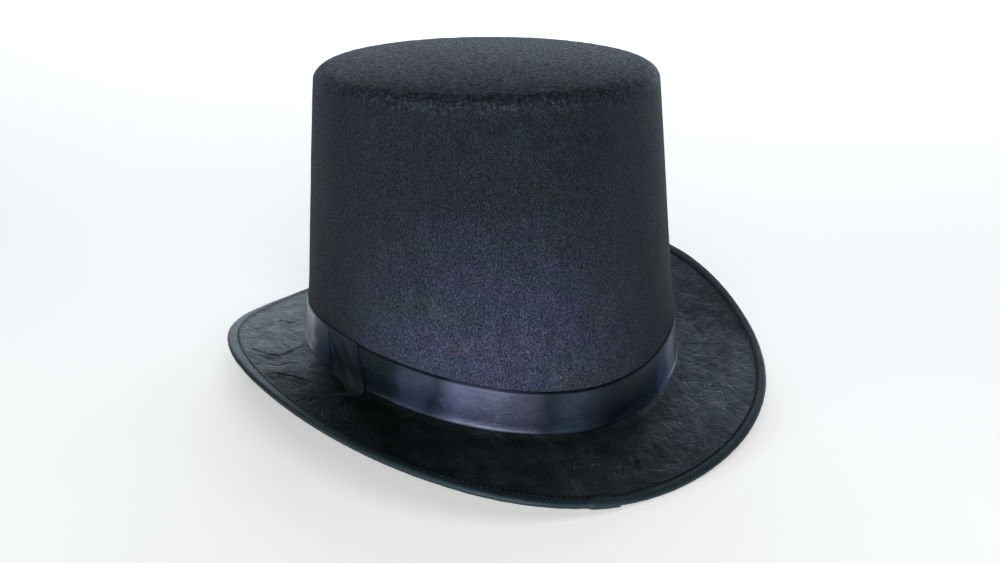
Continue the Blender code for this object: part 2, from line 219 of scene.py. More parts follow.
class Rings:
    """A mesh made of closed rings of points. A ring may have half as many points as the one before."""

    def __init__(self):
        self.points, self.faces, self.count = [], [], 0

    def ring(self, points):
        points = np.asarray(points, float).reshape(-1, 3)
        self.points.append(points)
        first, self.count = self.count, self.count + len(points)
        return np.arange(first, self.count)

    def join(self, a, b, back=False):
        if len(a) == len(b):
            blocks = [(a, np.roll(a, -1), np.roll(b, -1), b)]
        else:
            a0, a1, a2, b0, b1 = a[0::2], a[1::2], np.roll(a, -2)[0::2], b, np.roll(b, -1)
            blocks = [(a0, a1, b0), (a1, b1, b0), (a1, a2, b1)]
        self.faces += [np.stack(block[::-1] if back else block, axis=1) for block in blocks]

    def fan(self, ring, centre, outward=True):
        c = self.ring([centre])[0]
        other = np.roll(ring, -1)
        pair = (ring, other) if outward else (other, ring)
        self.faces.append(np.stack([*pair, np.full(len(ring), c)], axis=1))

    def object(self, name, look, **more):
        return object_of(name, np.concatenate(self.points), self.faces, look, **more)


def grid_normals(grid, ring=True):
    if ring:
        along = np.roll(grid, -1, 0) - np.roll(grid, 1, 0)
    else:
        along = np.gradient(grid, axis=0)
    return unit(np.cross(along, np.gradient(grid, axis=1)))


def hoop(name, face, back, look, **more):
    """A closed hoop from a face grid and a back grid, both (columns, rows, 3) round the hat, joined along both edges."""
    loop = np.concatenate([face, back[:, ::-1]], axis=1)
    n, m = loop.shape[:2]
    index = np.arange(n * m).reshape(n, m)
    a, b = index, np.roll(index, -1, 0)
    quads = np.stack([a, b, np.roll(b, -1, 1), np.roll(a, -1, 1)], axis=-1).reshape(-1, 4)
    return object_of(name, loop.reshape(-1, 3), [quads], look, **more)


def strap(name, face, back, look, lay=None, **more):
    """A closed strip from a face grid and a back grid, with both ends closed."""
    loop = np.concatenate([face, back[:, ::-1]], axis=1)
    n, m = loop.shape[:2]
    index = np.arange(n * m).reshape(n, m)
    a, b = index[:-1], index[1:]
    quads = np.stack([a, b, np.roll(b, -1, 1), np.roll(a, -1, 1)], axis=-1).reshape(-1, 4)
    k, h = face.shape[1], back.shape[1]
    # close the ends with a row of faces between the face side and the back side
    ends = []
    for row, turned in ((index[0], False), (index[-1], True)):
        f, g = row[:k], row[k:][::-1]
        at = np.round(np.linspace(0, h - 1, k)).astype(int)
        for i in range(k - 1):
            corner = [f[i], f[i + 1], g[at[i + 1]], g[at[i]]]
            corner = list(dict.fromkeys(int(c) for c in corner))
            if turned:
                corner = corner[::-1]
            ends.append(corner)
    three = [c for c in ends if len(c) == 3]
    four = [c for c in ends if len(c) == 4]
    blocks = [quads] + [np.array(b) for b in (three, four) if b]
    if lay is not None:
        lay = np.concatenate([lay[0], lay[1][:, ::-1]], axis=1).reshape(-1, 3)
    return object_of(name, loop.reshape(-1, 3), blocks, look, lay=lay, **more)


def stitches(name, start, end, up, radius, look, sink=0.6, sides=6):
    """Single stitches, each a thread that comes up out of the cloth at start and goes down into it at end."""
    start, end, up = (np.asarray(a, float) for a in (start, end, up))
    along = unit(end - start)
    side = unit(np.cross(along, up))
    up = np.cross(side, along)
    share = np.array([0.0, 0.06, 0.2, 0.5, 0.8, 0.94, 1.0])
    height = np.array([-sink, -0.25 * sink, 0.25, 0.45, 0.25, -0.25 * sink, -sink]) * radius
    size = np.array([0.45, 0.8, 1.0, 1.06, 1.0, 0.8, 0.45]) * radius
    turn = np.arange(sides) * 2 * PI / sides
    middle = start[:, None] + (end - start)[:, None] * share[None, :, None] + up[:, None] * height[None, :, None]
    circle = side[:, None] * np.cos(turn)[None, :, None] + up[:, None] * np.sin(turn)[None, :, None]
    points = middle[:, :, None] + circle[:, None] * size[None, :, None, None]
    n, m = len(start), len(share)
    index = np.arange(n * m * sides).reshape(n, m, sides)
    a, b = index[:, :-1], index[:, 1:]
    quads = np.stack([a, np.roll(a, -1, 2), np.roll(b, -1, 2), b], axis=-1).reshape(-1, 4)
    lids = np.concatenate([index[:, 0, ::-1], index[:, -1]], axis=0)
    return object_of(name, points.reshape(-1, 3), [quads, lids], look, sharp=80)


def even(total, size):
    return max(1, int(round(total / size)))


# ---------------------------------------------------------------- materials


class Look:
    """A node material round one Principled shader. Fixed values go straight on its sockets."""

    def __init__(self, name, **fixed):
        self.material = bpy.data.materials.new(name)
        self.material.use_nodes = True
        self.tree = self.material.node_tree
        self.shader = self.tree.nodes["Principled BSDF"]
        for key, value in fixed.items():
            socket = self.shader.inputs[key.replace("_", " ")]
            socket.default_value = (*value, 1.0) if hasattr(value, "__len__") and len(value) == 3 else value
        self.place = self.tree.nodes.new("ShaderNodeTexCoord").outputs["Object"]

    def node(self, kind, settings=None, **inputs):
        made = self.tree.nodes.new(kind)
        for key, value in (settings or {}).items():
            setattr(made, key, value)
        for key, value in inputs.items():
            self.put(made.inputs[int(key[1:])] if key[0] == "_" else made.inputs[key.replace("_", " ")], value)
        return made

    def put(self, socket, value):
        if isinstance(value, bpy.types.NodeSocket):
            self.tree.links.new(value, socket)
        elif hasattr(value, "__len__") and len(value) == 3 and len(socket.default_value) == 4:
            socket.default_value = (*value, 1.0)
        else:
            socket.default_value = value

    def lay(self):
        return self.node("ShaderNodeAttribute", {"attribute_name": "lay"}).outputs["Vector"]

    def scaled(self, at, size):
        """Coordinates in units of size, one number or one for each axis, in metres."""
        size = (size,) * 3 if not hasattr(size, "__len__") else size
        made = self.node("ShaderNodeVectorMath", {"operation": "MULTIPLY"}, _0=at, _1=tuple(1 / s for s in size))
        return made.outputs[0]

    def noise(self, size, at=None, detail=2.0, rough=0.55, bend=0.0):
        made = self.node(
            "ShaderNodeTexNoise", None, Vector=self.scaled(at or self.place, size), Scale=1.0, Detail=detail,
            Roughness=rough, Distortion=bend,
        )
        return made.outputs["Fac"]

    def cells(self, size, at=None, feature="F1"):
        made = self.node("ShaderNodeTexVoronoi", {"feature": feature}, Vector=self.scaled(at or self.place, size), Scale=1.0)
        return made.outputs["Distance"]

    def math(self, operation, a, b=0.0, clamp=False):
        return self.node("ShaderNodeMath", {"operation": operation, "use_clamp": clamp}, _0=a, _1=b).outputs[0]

    def spread(self, value, low, high, to_low=0.0, to_high=1.0):
        made = self.node("ShaderNodeMapRange", {"clamp": True}, _0=value, _1=low, _2=high, _3=to_low, _4=to_high)
        return made.outputs[0]

    def ramp(self, value, stops):
        made = self.node("ShaderNodeValToRGB", None, Fac=value)
        ends = made.color_ramp.elements
        while len(ends) < len(stops):
            ends.new(0.5)
        for end, (at, colour) in zip(ends, stops):
            end.position, end.color = at, (*colour, 1.0)
        return made.outputs["Color"]

    def mix(self, share, a, b, blend="MIX"):
        made = self.node("ShaderNodeMix", {"data_type": "RGBA", "blend_type": blend}, _0=share, _6=a, _7=b)
        return made.outputs[2]

    def grey(self, value):
        return self.node("ShaderNodeCombineColor", None, Red=value, Green=value, Blue=value).outputs[0]

    def along(self, value, whole, stops):
        """A smooth run of colours along a distance: stops are (distance, colour), both in the value's own units."""
        made = self.node("ShaderNodeValToRGB", None, Fac=self.math("DIVIDE", value, whole))
        made.color_ramp.interpolation = "EASE"
        ends = made.color_ramp.elements
        while len(ends) < len(stops):
            ends.new(0.5)
        for end, (at, colour) in zip(ends, stops):
            end.position, end.color = min(1.0, at / whole), (*colour, 1.0)
        return made.outputs["Color"]

    def towards(self, direction):
        """How far a point lies from the middle in one direction, in metres."""
        made = self.node("ShaderNodeVectorMath", {"operation": "DOT_PRODUCT"}, _0=self.place, _1=direction)
        return made.outputs["Value"]

    def bump(self, height, distance, strength=1.0, under=None):
        made = self.node("ShaderNodeBump", None, Strength=abs(strength), Distance=distance, Height=height)
        made.invert = strength < 0
        if under is not None:
            self.tree.links.new(under, made.inputs["Normal"])
        return made.outputs["Normal"]

    def done(self, colour=None, roughness=None, normal=None, **more):
        for key, value in (("Base Color", colour), ("Roughness", roughness), ("Normal", normal), *more.items()):
            if value is not None:
                self.put(self.shader.inputs[key.replace("_", " ")], value)
        return self.material


def felt_look():
    """Crown felt: short wool fibres lying mostly up and down the wall, with a coarser, fuzzier tip."""
    k = Look(
        "black_felt", Specular_IOR_Level=0.17, Sheen_Weight=0.066, Sheen_Roughness=0.26, Sheen_Tint=(0.82, 0.90, 1.0)
    )
    height = k.node("ShaderNodeSeparateXYZ", None, Vector=k.place).outputs["Z"]
    tip = k.spread(height, LIFT + TURN_Z - 2 * MM, LIFT + TURN_Z + 7 * MM)
    front = k.towards((-0.589, -0.808, 0.0))
    fibre = k.noise((0.34 * MM, 0.34 * MM, 1.35 * MM), detail=2.0, rough=0.75, bend=0.5)
    speck = k.noise((0.50 * MM, 0.50 * MM, 0.62 * MM), detail=2.0, rough=0.8)
    fuzz = k.noise(1.7 * MM, detail=3.0, rough=0.78, bend=0.6)
    clump = k.noise((5 * MM, 5 * MM, 11 * MM), detail=3.0, rough=0.6)
    patch = k.noise((40 * MM, 40 * MM, 16 * MM), detail=2.0, rough=0.5, bend=0.4)
    dye = k.noise((75 * MM, 75 * MM, 60 * MM), detail=1.0)
    wall_grain = k.spread(k.math("ADD", k.math("MULTIPLY", fibre, 0.5), k.math("MULTIPLY", speck, 0.5)), 0.37, 0.63)
    tip_grain = k.spread(fuzz, 0.34, 0.66)
    grain = k.node("ShaderNodeMix", {"data_type": "FLOAT"}, _0=tip, _2=wall_grain, _3=tip_grain).outputs[0]
    colour = k.ramp(
        grain, [(0.0, (0.0018, 0.0022, 0.0031)), (0.50, (0.0072, 0.0086, 0.0116)), (1.0, (0.036, 0.041, 0.051))]
    )
    tint = k.ramp(
        patch,
        [(0.30, (0.96, 1.04, 0.88)), (0.45, (0.88, 1.03, 1.04)), (0.58, (1.02, 0.96, 1.14)), (0.72, (1.12, 0.98, 0.94))],
    )
    colour = k.mix(1.0, colour, tint, "MULTIPLY")
    worn = k.spread(k.math("ADD", clump, k.math("MULTIPLY", dye, 0.5)), 0.55, 0.95, 0.82, 1.22)
    colour = k.mix(1.0, colour, k.grey(worn), "MULTIPLY")
    # painted light low on the front of the wall, and painted shade towards its sides
    low = k.spread(height, LIFT + 105 * MM, LIFT + 40 * MM)
    painted_front_light = k.math("MULTIPLY", low, k.spread(front, 62 * MM, 92 * MM))
    wall_painted_light = k.mix(painted_front_light, (0.96, 0.96, 0.94), (3.05, 2.85, 3.20))
    wall_painted_light = k.mix(1.0, wall_painted_light, k.grey(k.spread(front, 15 * MM, 75 * MM, 0.62, 1.0)), "MULTIPLY")
    # painted shade on the +X side of the wall
    to_left = k.towards((0.808, -0.589, 0.0))
    wall_painted_light = k.mix(1.0, wall_painted_light, k.grey(k.spread(to_left, 22 * MM, 72 * MM, 1.0, 0.58)), "MULTIPLY")
    # painted light on the back of the tip, fading to painted shade towards its front
    tip_painted_light = k.along(
        k.math("ADD", front, 100 * MM), 0.2,
        [(0.0, (1.9, 1.95, 1.95)), (0.055, (1.6, 1.65, 1.65)), (0.100, (1.25, 1.28, 1.28)), (0.145, (0.70, 0.72, 0.71)),
         (0.200, (0.62, 0.64, 0.62))],
    )
    # heights on the dressed surface, whose rounded edge is a little softer and higher than the block's
    level = k.math("SUBTRACT", height, k.math("MULTIPLY", front, 0.020))
    top = LIFT + CROWN_HEIGHT
    flat = k.spread(level, top - 3.2 * MM, top - 0.2 * MM)
    colour = k.mix(1.0, colour, k.mix(flat, wall_painted_light, tip_painted_light), "MULTIPLY")
    on_tip = k.math("MULTIPLY", k.spread(front, -45 * MM, 66 * MM, 0.175, 0.012), k.spread(fuzz, 0.36, 0.64, 0.30, 1.70))
    on_wall = k.spread(front, 5 * MM, 50 * MM, 0.064, 0.032)
    sheen = k.node("ShaderNodeMix", {"data_type": "FLOAT"}, _0=flat, _2=on_wall, _3=on_tip).outputs[0]
    # painted light on the rounded edge, a little paler than the wall under it
    edge = k.math("MULTIPLY", k.spread(level, top - 8.5 * MM, top - 3.5 * MM), k.spread(level, top + 0.4 * MM, top - 2.2 * MM))
    colour = k.mix(1.0, colour, k.grey(k.math("ADD", 1.0, k.math("MULTIPLY", edge, 0.45))), "MULTIPLY")
    wall_shine = k.spread(front, 5 * MM, 50 * MM, 0.17, 0.13)
    tip_shine = k.spread(front, -30 * MM, 66 * MM, 0.26, 0.07)
    shine = k.node("ShaderNodeMix", {"data_type": "FLOAT"}, _0=flat, _2=wall_shine, _3=tip_shine).outputs[0]
    rough = k.math("SUBTRACT", k.spread(grain, 0.1, 0.9, 0.90, 0.66), k.math("MULTIPLY", tip, 0.06))
    normal = k.bump(clump, 0.5 * MM, 0.5)
    deep = k.math("ADD", k.math("MULTIPLY", flat, 0.8 * MM), 0.32 * MM)
    normal = k.bump(grain, deep, 0.9, under=normal)
    return k.done(colour, rough, normal, Sheen_Weight=sheen, Specular_IOR_Level=shine)


def brim_look():
    """Brim fabric: brushed, flatter and darker than the crown, mottled where the nap has been pressed."""
    k = Look(
        "brim_felt", Specular_IOR_Level=0.36, Specular_Tint=(0.84, 1.0, 1.0), Sheen_Weight=0.06,
        Sheen_Roughness=0.25, Sheen_Tint=(0.72, 0.96, 1.0),
    )
    nap = k.noise(0.75 * MM, detail=2.0, rough=0.75)
    tuft = k.noise(1.7 * MM, detail=3.0, rough=0.7, bend=0.4)
    mottle = k.noise((6 * MM, 7 * MM, 6 * MM), detail=4.0, rough=0.62, bend=0.5)
    patch = k.noise(34 * MM, detail=2.0, rough=0.5, bend=0.5)
    wear = k.math("ADD", k.math("MULTIPLY", mottle, 0.6), k.math("MULTIPLY", tuft, 0.4))
    colour = k.ramp(
        wear, [(0.34, (0.0013, 0.0021, 0.0023)), (0.50, (0.0031, 0.0049, 0.0053)), (0.66, (0.0078, 0.0116, 0.0122))]
    )
    tint = k.ramp(patch, [(0.32, (0.80, 1.06, 0.96)), (0.5, (0.92, 1.0, 1.04)), (0.68, (1.22, 0.93, 0.98))])
    colour = k.mix(1.0, colour, tint, "MULTIPLY")
    speckle = k.ramp(nap, [(0.36, (0.6, 0.6, 0.6)), (0.62, (1.4, 1.4, 1.4))])
    colour = k.mix(1.0, colour, speckle, "MULTIPLY")
    # painted light on the two raised sides and painted shade between them, set by angle round the hat, in colour,
    # specular and sheen; blotches where it was handled
    xyz = k.node("ShaderNodeSeparateXYZ", None, Vector=k.place)
    turn = k.math("ARCTAN2", xyz.outputs["X"], k.math("MULTIPLY", xyz.outputs["Y"], -1.0))
    turn = k.math("ADD", k.math("MULTIPLY", turn, 180 / PI), 180.0)
    turn = k.math("ADD", turn, k.math("MULTIPLY", k.math("SUBTRACT", patch, 0.5), 14.0))
    level = [(0, 1.0), (40, 1.40), (57, 1.85), (80, 1.55), (89, 0.62), (98, 0.38), (112, 0.40), (125, 0.50), (145, 0.78),
             (158, 0.86), (175, 0.60), (186, 0.86), (199, 1.35), (221, 1.20), (238, 0.68), (262, 0.85), (300, 1.0), (360, 1.0)]
    painted_light_and_blotches = k.along(turn, 360.0, [(at, (g, g, g)) for at, g in level])
    smudge = k.noise((11 * MM, 13 * MM, 11 * MM), detail=3.0, rough=0.6, bend=0.7)
    blotch = k.spread(smudge, 0.36, 0.64, 0.68, 1.34)
    painted_light_and_blotches = k.mix(1.0, painted_light_and_blotches, k.grey(blotch), "MULTIPLY")
    colour = k.mix(1.0, colour, painted_light_and_blotches, "MULTIPLY")
    shine = k.math("MULTIPLY", painted_light_and_blotches, 0.36)
    rough = k.spread(wear, 0.35, 0.65, 0.68, 0.47)
    normal = k.bump(mottle, 0.9 * MM, 0.5)
    # a net of small pressed wrinkles
    drift = k.node("ShaderNodeTexNoise", None, Vector=k.scaled(k.place, 5 * MM), Scale=1.0, Detail=2.0).outputs["Color"]
    strayed = k.node("ShaderNodeVectorMath", {"operation": "MULTIPLY"}, _0=drift, _1=(5 * MM, 5 * MM, 5 * MM)).outputs[0]
    strayed = k.node("ShaderNodeVectorMath", {"operation": "ADD"}, _0=k.place, _1=strayed).outputs[0]
    net = k.spread(k.cells(8 * MM, at=strayed, feature="DISTANCE_TO_EDGE"), 0.0, 0.11)
    net = k.math("MULTIPLY", k.math("SUBTRACT", 1.0, net), k.spread(smudge, 0.42, 0.60))
    normal = k.bump(net, 0.40 * MM, -0.8, under=normal)
    normal = k.bump(tuft, 0.8 * MM, 0.6, under=normal)
    normal = k.bump(nap, 0.5 * MM, 0.8, under=normal)
    return k.done(colour, rough, normal, Specular_IOR_Level=shine, Sheen_Weight=k.math("MULTIPLY", painted_light_and_blotches, 0.07))


def satin_look(
    name, base, glow, rough_low, rough_high, slub=0.5, gloss=0.5, tint=(0.80, 0.88, 1.0), whole=None, painted_lengths=(), shade_from=None, shaded=0.16, stray=16 * MM, slant=-0.18
):
    """Satin ribbon. lay.x runs along it and lay.y across it: fine floats along, faint picks across.

    The (distance, colour) pairs over the whole length are painted highlights and painted shade: brighter and darker
    lengths that stand in for reflections of the lamps.
    shade_from is a pair of distances from the middle or the lower edge, between which a painted shade darkens it
    towards its edge, standing in for the shadow line there.
    """
    k = Look(name, Specular_IOR_Level=gloss, Specular_Tint=tint)
    lay = k.lay()
    xyz = k.node("ShaderNodeSeparateXYZ", None, Vector=lay)
    floats = k.noise((4.5 * MM, 0.16 * MM, 1.0), at=lay, detail=1.0, rough=0.5)
    picks = k.noise((0.30 * MM, 2.0 * MM, 1.0), at=lay, detail=2.0, rough=0.6)
    blur = k.noise((16 * MM, 9 * MM, 1.0), at=lay, detail=2.0, rough=0.5, bend=0.6)
    share = k.math("ADD", k.math("MULTIPLY", floats, 0.5), k.math("MULTIPLY", picks, 0.5))
    colour = k.mix(k.spread(share, 0.32, 0.68), base, glow)
    shade = k.ramp(blur, [(0.35, (0.78, 0.84, 0.86)), (0.65, (1.22, 1.14, 1.20))])
    colour = k.mix(1.0, colour, shade, "MULTIPLY")
    more = {}
    # painted highlights and painted shade along the length, in colour and specular tint
    if whole:
        slack = k.noise((14 * MM, 12 * MM, 1.0), at=lay, detail=2.0, rough=0.6, bend=0.5)
        at = k.math("ADD", xyz.outputs["X"], k.math("MULTIPLY", k.math("SUBTRACT", slack, 0.5), stray))
        at = k.math("ADD", at, k.math("MULTIPLY", xyz.outputs["Y"], slant))
        run = k.along(at, whole, painted_lengths)
        colour = k.mix(1.0, k.mix(1.0, colour, run, "MULTIPLY"), run, "MULTIPLY")
        more["Specular_Tint"] = k.mix(1.0, (*tint, 1.0), run, "MULTIPLY")
    # painted shade towards the edge, in colour and specular tint
    if shade_from:
        edge = k.grey(k.spread(k.math("ABSOLUTE", xyz.outputs["Y"]), *shade_from, 1.0, shaded))
        colour = k.mix(1.0, colour, edge, "MULTIPLY")
        more["Specular_Tint"] = k.mix(1.0, more.get("Specular_Tint", (*tint, 1.0)), edge, "MULTIPLY")
    rough = k.spread(k.math("ADD", k.math("MULTIPLY", picks, 0.6), k.math("MULTIPLY", blur, 0.4)), 0.3, 0.7, rough_low, rough_high)
    normal = k.bump(blur, 0.5 * MM, 0.3)
    normal = k.bump(share, 0.12 * MM, slub, under=normal)
    return k.done(colour, rough, normal, **more)


def thread_look():
    k = Look("black_thread", Specular_IOR_Level=0.35)
    ply = k.noise((0.25 * MM, 0.25 * MM, 0.25 * MM), detail=1.0)
    colour = k.ramp(ply, [(0.35, (0.004, 0.005, 0.007)), (0.65, (0.017, 0.021, 0.026))])
    rough = k.spread(ply, 0.35, 0.65, 0.75, 0.5)
    return k.done(colour, rough, k.bump(ply, 0.15 * MM, 0.8))


def lining_look():
    """Thin acetate lining, soft and a little shiny."""
    k = Look("lining_satin", Specular_IOR_Level=0.5, Sheen_Weight=0.08, Sheen_Tint=(0.8, 0.8, 0.9))
    weave = k.noise((0.35 * MM, 0.35 * MM, 2.2 * MM), detail=2.0, rough=0.6)
    picks = k.noise((2.0 * MM, 2.0 * MM, 0.3 * MM), detail=1.0)
    blur = k.noise(18 * MM, detail=3.0, rough=0.55)
    colour = k.ramp(
        k.math("ADD", k.math("MULTIPLY", weave, 0.5), k.math("MULTIPLY", picks, 0.5)),
        [(0.35, (0.010, 0.010, 0.013)), (0.65, (0.026, 0.026, 0.032))],
    )
    colour = k.mix(1.0, colour, k.ramp(blur, [(0.3, (0.8, 0.8, 0.82)), (0.7, (1.25, 1.22, 1.2))]), "MULTIPLY")
    rough = k.spread(blur, 0.3, 0.7, 0.38, 0.56)
    normal = k.bump(blur, 0.8 * MM, 0.35)
    normal = k.bump(weave, 0.12 * MM, 0.5, under=normal)
    return k.done(colour, rough, k.bump(picks, 0.10 * MM, 0.4, under=normal))


def leather_look():
    """Embossed leatherette: rounded grain cells, darker in the creases between them, with paler, smoother patches here
    and there.
    """
    k = Look("sweatband_leatherette", Specular_IOR_Level=0.45)
    lay = k.lay()
    grain = k.cells((1.0 * MM, 1.0 * MM, 1.0), at=lay)
    crease = k.cells((1.0 * MM, 1.0 * MM, 1.0), at=lay, feature="DISTANCE_TO_EDGE")
    pore = k.noise((0.35 * MM, 0.35 * MM, 1.0), at=lay, detail=2.0)
    worn = k.noise((24 * MM, 14 * MM, 1.0), at=lay, detail=3.0)
    colour = k.ramp(k.spread(crease, 0.0, 0.16), [(0.0, (0.009, 0.008, 0.007)), (1.0, (0.031, 0.027, 0.025))])
    colour = k.mix(1.0, colour, k.ramp(worn, [(0.3, (0.78, 0.78, 0.80)), (0.7, (1.30, 1.22, 1.15))]), "MULTIPLY")
    rough = k.spread(worn, 0.3, 0.7, 0.62, 0.42)
    normal = k.bump(k.spread(crease, 0.0, 0.2), 0.25 * MM, 0.7)
    normal = k.bump(grain, 0.12 * MM, -0.4, under=normal)
    return k.done(colour, rough, k.bump(pore, 0.08 * MM, 0.5, under=normal))


def cloth_grid_look(name, dark, light, pitch, rough, gap=0.25, stiff=0.5):
    """Open plain weave, for buckram and the label."""
    k = Look(name, Specular_IOR_Level=0.25)
    warp = k.node("ShaderNodeTexWave", {"bands_direction": "X"}, Vector=k.scaled(k.place, pitch), Scale=0.31, Distortion=0.6).outputs["Fac"]
    weft = k.node("ShaderNodeTexWave", {"bands_direction": "Z"}, Vector=k.scaled(k.place, pitch), Scale=0.31, Distortion=0.6).outputs["Fac"]
    weave = k.math("MULTIPLY", warp, weft)
    haze = k.noise(9 * MM, detail=3.0)
    colour = k.mix(k.spread(k.math("ADD", weave, k.math("MULTIPLY", haze, gap)), 0.1, 0.9), dark, light)
    normal = k.bump(weave, 0.2 * MM, stiff)
    return k.done(colour, k.spread(haze, 0.3, 0.7, rough, rough - 0.12), k.bump(haze, 0.4 * MM, 0.2, under=normal))


def board_look():
    k = Look("brim_board", Specular_IOR_Level=0.2)
    pulp = k.noise((1.2 * MM, 1.2 * MM, 0.4 * MM), detail=4.0, rough=0.7)
    cloud = k.noise(15 * MM, detail=2.0)
    colour = k.ramp(pulp, [(0.3, (0.08, 0.07, 0.055)), (0.7, (0.17, 0.15, 0.12))])
    colour = k.mix(1.0, colour, k.ramp(cloud, [(0.3, (0.85, 0.85, 0.85)), (0.7, (1.1, 1.1, 1.1))]), "MULTIPLY")
    return k.done(colour, k.spread(pulp, 0.3, 0.7, 0.95, 0.82), k.bump(pulp, 0.2 * MM, 0.6))


def metal_look(name, dull, bright, rough_low, rough_high):
    k = Look(name, Metallic=1.0)
    drawn = k.noise((0.3 * MM, 0.3 * MM, 0.3 * MM), detail=3.0, rough=0.7)
    stain = k.noise(4 * MM, detail=2.0)
    colour = k.mix(k.spread(k.math("ADD", drawn, stain), 0.7, 1.3), dull, bright)
    return k.done(colour, k.spread(stain, 0.3, 0.7, rough_low, rough_high), k.bump(drawn, 0.05 * MM, 0.5))


FELT = felt_look()
BRIM = brim_look()
# Painted highlights and painted shade along the hatband: reflections of the lamps laid into the satin's colour, with
# their hues
VIOLET, PLAIN, SEA, PALE = (1.04, 1.0, 1.01), (0.92, 1.0, 0.97), (0.83, 1.0, 0.97), (1.14, 1.05, 0.84)
BAND_PAINTED_LIGHT = [
    (0, 1.0, PLAIN), (60, 1.2, PLAIN), (95, 1.8, PALE), (106, 6.2, PALE), (128, 5.8, PALE), (138, 2.3, PALE), (149, 1.6, SEA),
    (161, 1.0, SEA), (181, 0.70, SEA), (193, 0.66, SEA), (199, 0.85, PLAIN), (205, 1.60, PLAIN), (212, 1.70, PLAIN),
    (221, 1.15, PLAIN), (226, 1.75, VIOLET), (231, 2.10, VIOLET), (243, 1.50, VIOLET), (256, 1.08, VIOLET),
    (267, 1.10, VIOLET), (272, 0.85, SEA), (278, 1.0, SEA), (286, 1.40, SEA), (293, 1.0, SEA), (301, 0.66, SEA),
    (308, 0.60, SEA), (318, 0.74, SEA), (327, 0.92, SEA), (337, 1.25, SEA), (347, 2.4, SEA), (361, 4.2, PALE), (390, 1.3, PLAIN),
    (626.7, 1.0, PLAIN),
]
# painted shade along the band's top edge, standing in for the shadow under the felt above it
SATIN = satin_look(
    "navy_black_satin", (0.0028, 0.0036, 0.0066), (0.0080, 0.0090, 0.0176), 0.28, 0.38, slub=0.8, gloss=0.42, whole=626.7 * MM,
    painted_lengths=[(at * MM, tuple(level * part for part in hue)) for at, level, hue in BAND_PAINTED_LIGHT],
    shade_from=(BAND_HEIGHT - 1.35 * MM, BAND_HEIGHT - 0.75 * MM),
)
# The wrap is the band's ribbon, drawn in a darker, greener copy of its satin as painted shade.
WRAP_PAINTED_LIGHT = [(0, 1.6), (4.0, 1.25), (6.5, 0.95), (9.5, 0.75), (13.5, 0.98), (18, 1.22), (27, 1.22)]
# Along its height: painted light on the tail lying out on the brim, painted shade in the hollow above it, and painted
# shade along its side edges.
TAB = satin_look(
    "folded_satin", (0.0016, 0.0026, 0.0029), (0.0046, 0.0068, 0.0074), 0.44, 0.58, slub=0.8, gloss=0.26,
    tint=(0.76, 0.96, 0.98), whole=27 * MM, painted_lengths=[(at * MM, (level * 1.02, level, level * (1.0 + 0.010 * at))) for at, level in WRAP_PAINTED_LIGHT], stray=2.5 * MM, slant=0.0,
    shade_from=(10.2 * MM, 11.6 * MM), shaded=0.5,
)
# painted shade along the tape's inner edges, standing in for the shadow line between the binding and the brim
TAPE = satin_look(
    "binding_satin", (0.0036, 0.0080, 0.0088), (0.0120, 0.0215, 0.0232), 0.44, 0.60, slub=0.9, gloss=0.34,
    tint=(0.68, 0.92, 0.98), shade_from=(4.25 * MM, 4.75 * MM), shaded=0.12,
)
THREAD = thread_look()
LINING = lining_look()
LEATHER = leather_look()
LABEL = cloth_grid_look("woven_label", (0.36, 0.35, 0.32), (0.62, 0.61, 0.57), 0.35 * MM, 0.85)
BUCKRAM = cloth_grid_look("buckram", (0.035, 0.032, 0.028), (0.14, 0.13, 0.115), 1.1 * MM, 0.92, stiff=0.9)
BOARD = board_look()
STEEL = metal_look("millinery_wire", (0.25, 0.25, 0.27), (0.55, 0.55, 0.57), 0.45, 0.28)
BRASS = metal_look("joiner_brass", (0.34, 0.24, 0.10), (0.66, 0.50, 0.24), 0.5, 0.3)


def dress(node, look):
    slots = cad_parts[node].data.materials
    if len(slots):
        for i in range(len(slots)):
            slots[i] = look
    else:
        slots.append(look)


def place(obj, slot_name, *nodes):
    """A finished piece: it rides on the one body and stands for its CAD solid, which it hides; slot_name is not used.
    """
    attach(obj, "root")
    if nodes:
        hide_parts(*nodes)
    return obj


# ---------------------------------------------------------------- crown


def arc(centre_out, centre_z, radius, start, end, steps, skip=0):
    turn = np.radians(np.linspace(start, end, steps + 1)[skip:])
    return [(centre_out + radius * math.cos(a), centre_z + radius * math.sin(a)) for a in turn]


def tip_lean(points, z):
    """The tip isn't quite level: it leans back, its front-left side about 2 mm high and its back as much low."""
    towards = (points[..., 0] * -0.589 + points[..., 1] * -0.808) / (85 * MM)
    return 1.9 * MM * towards * smooth((z - 105 * MM) / (43 * MM))


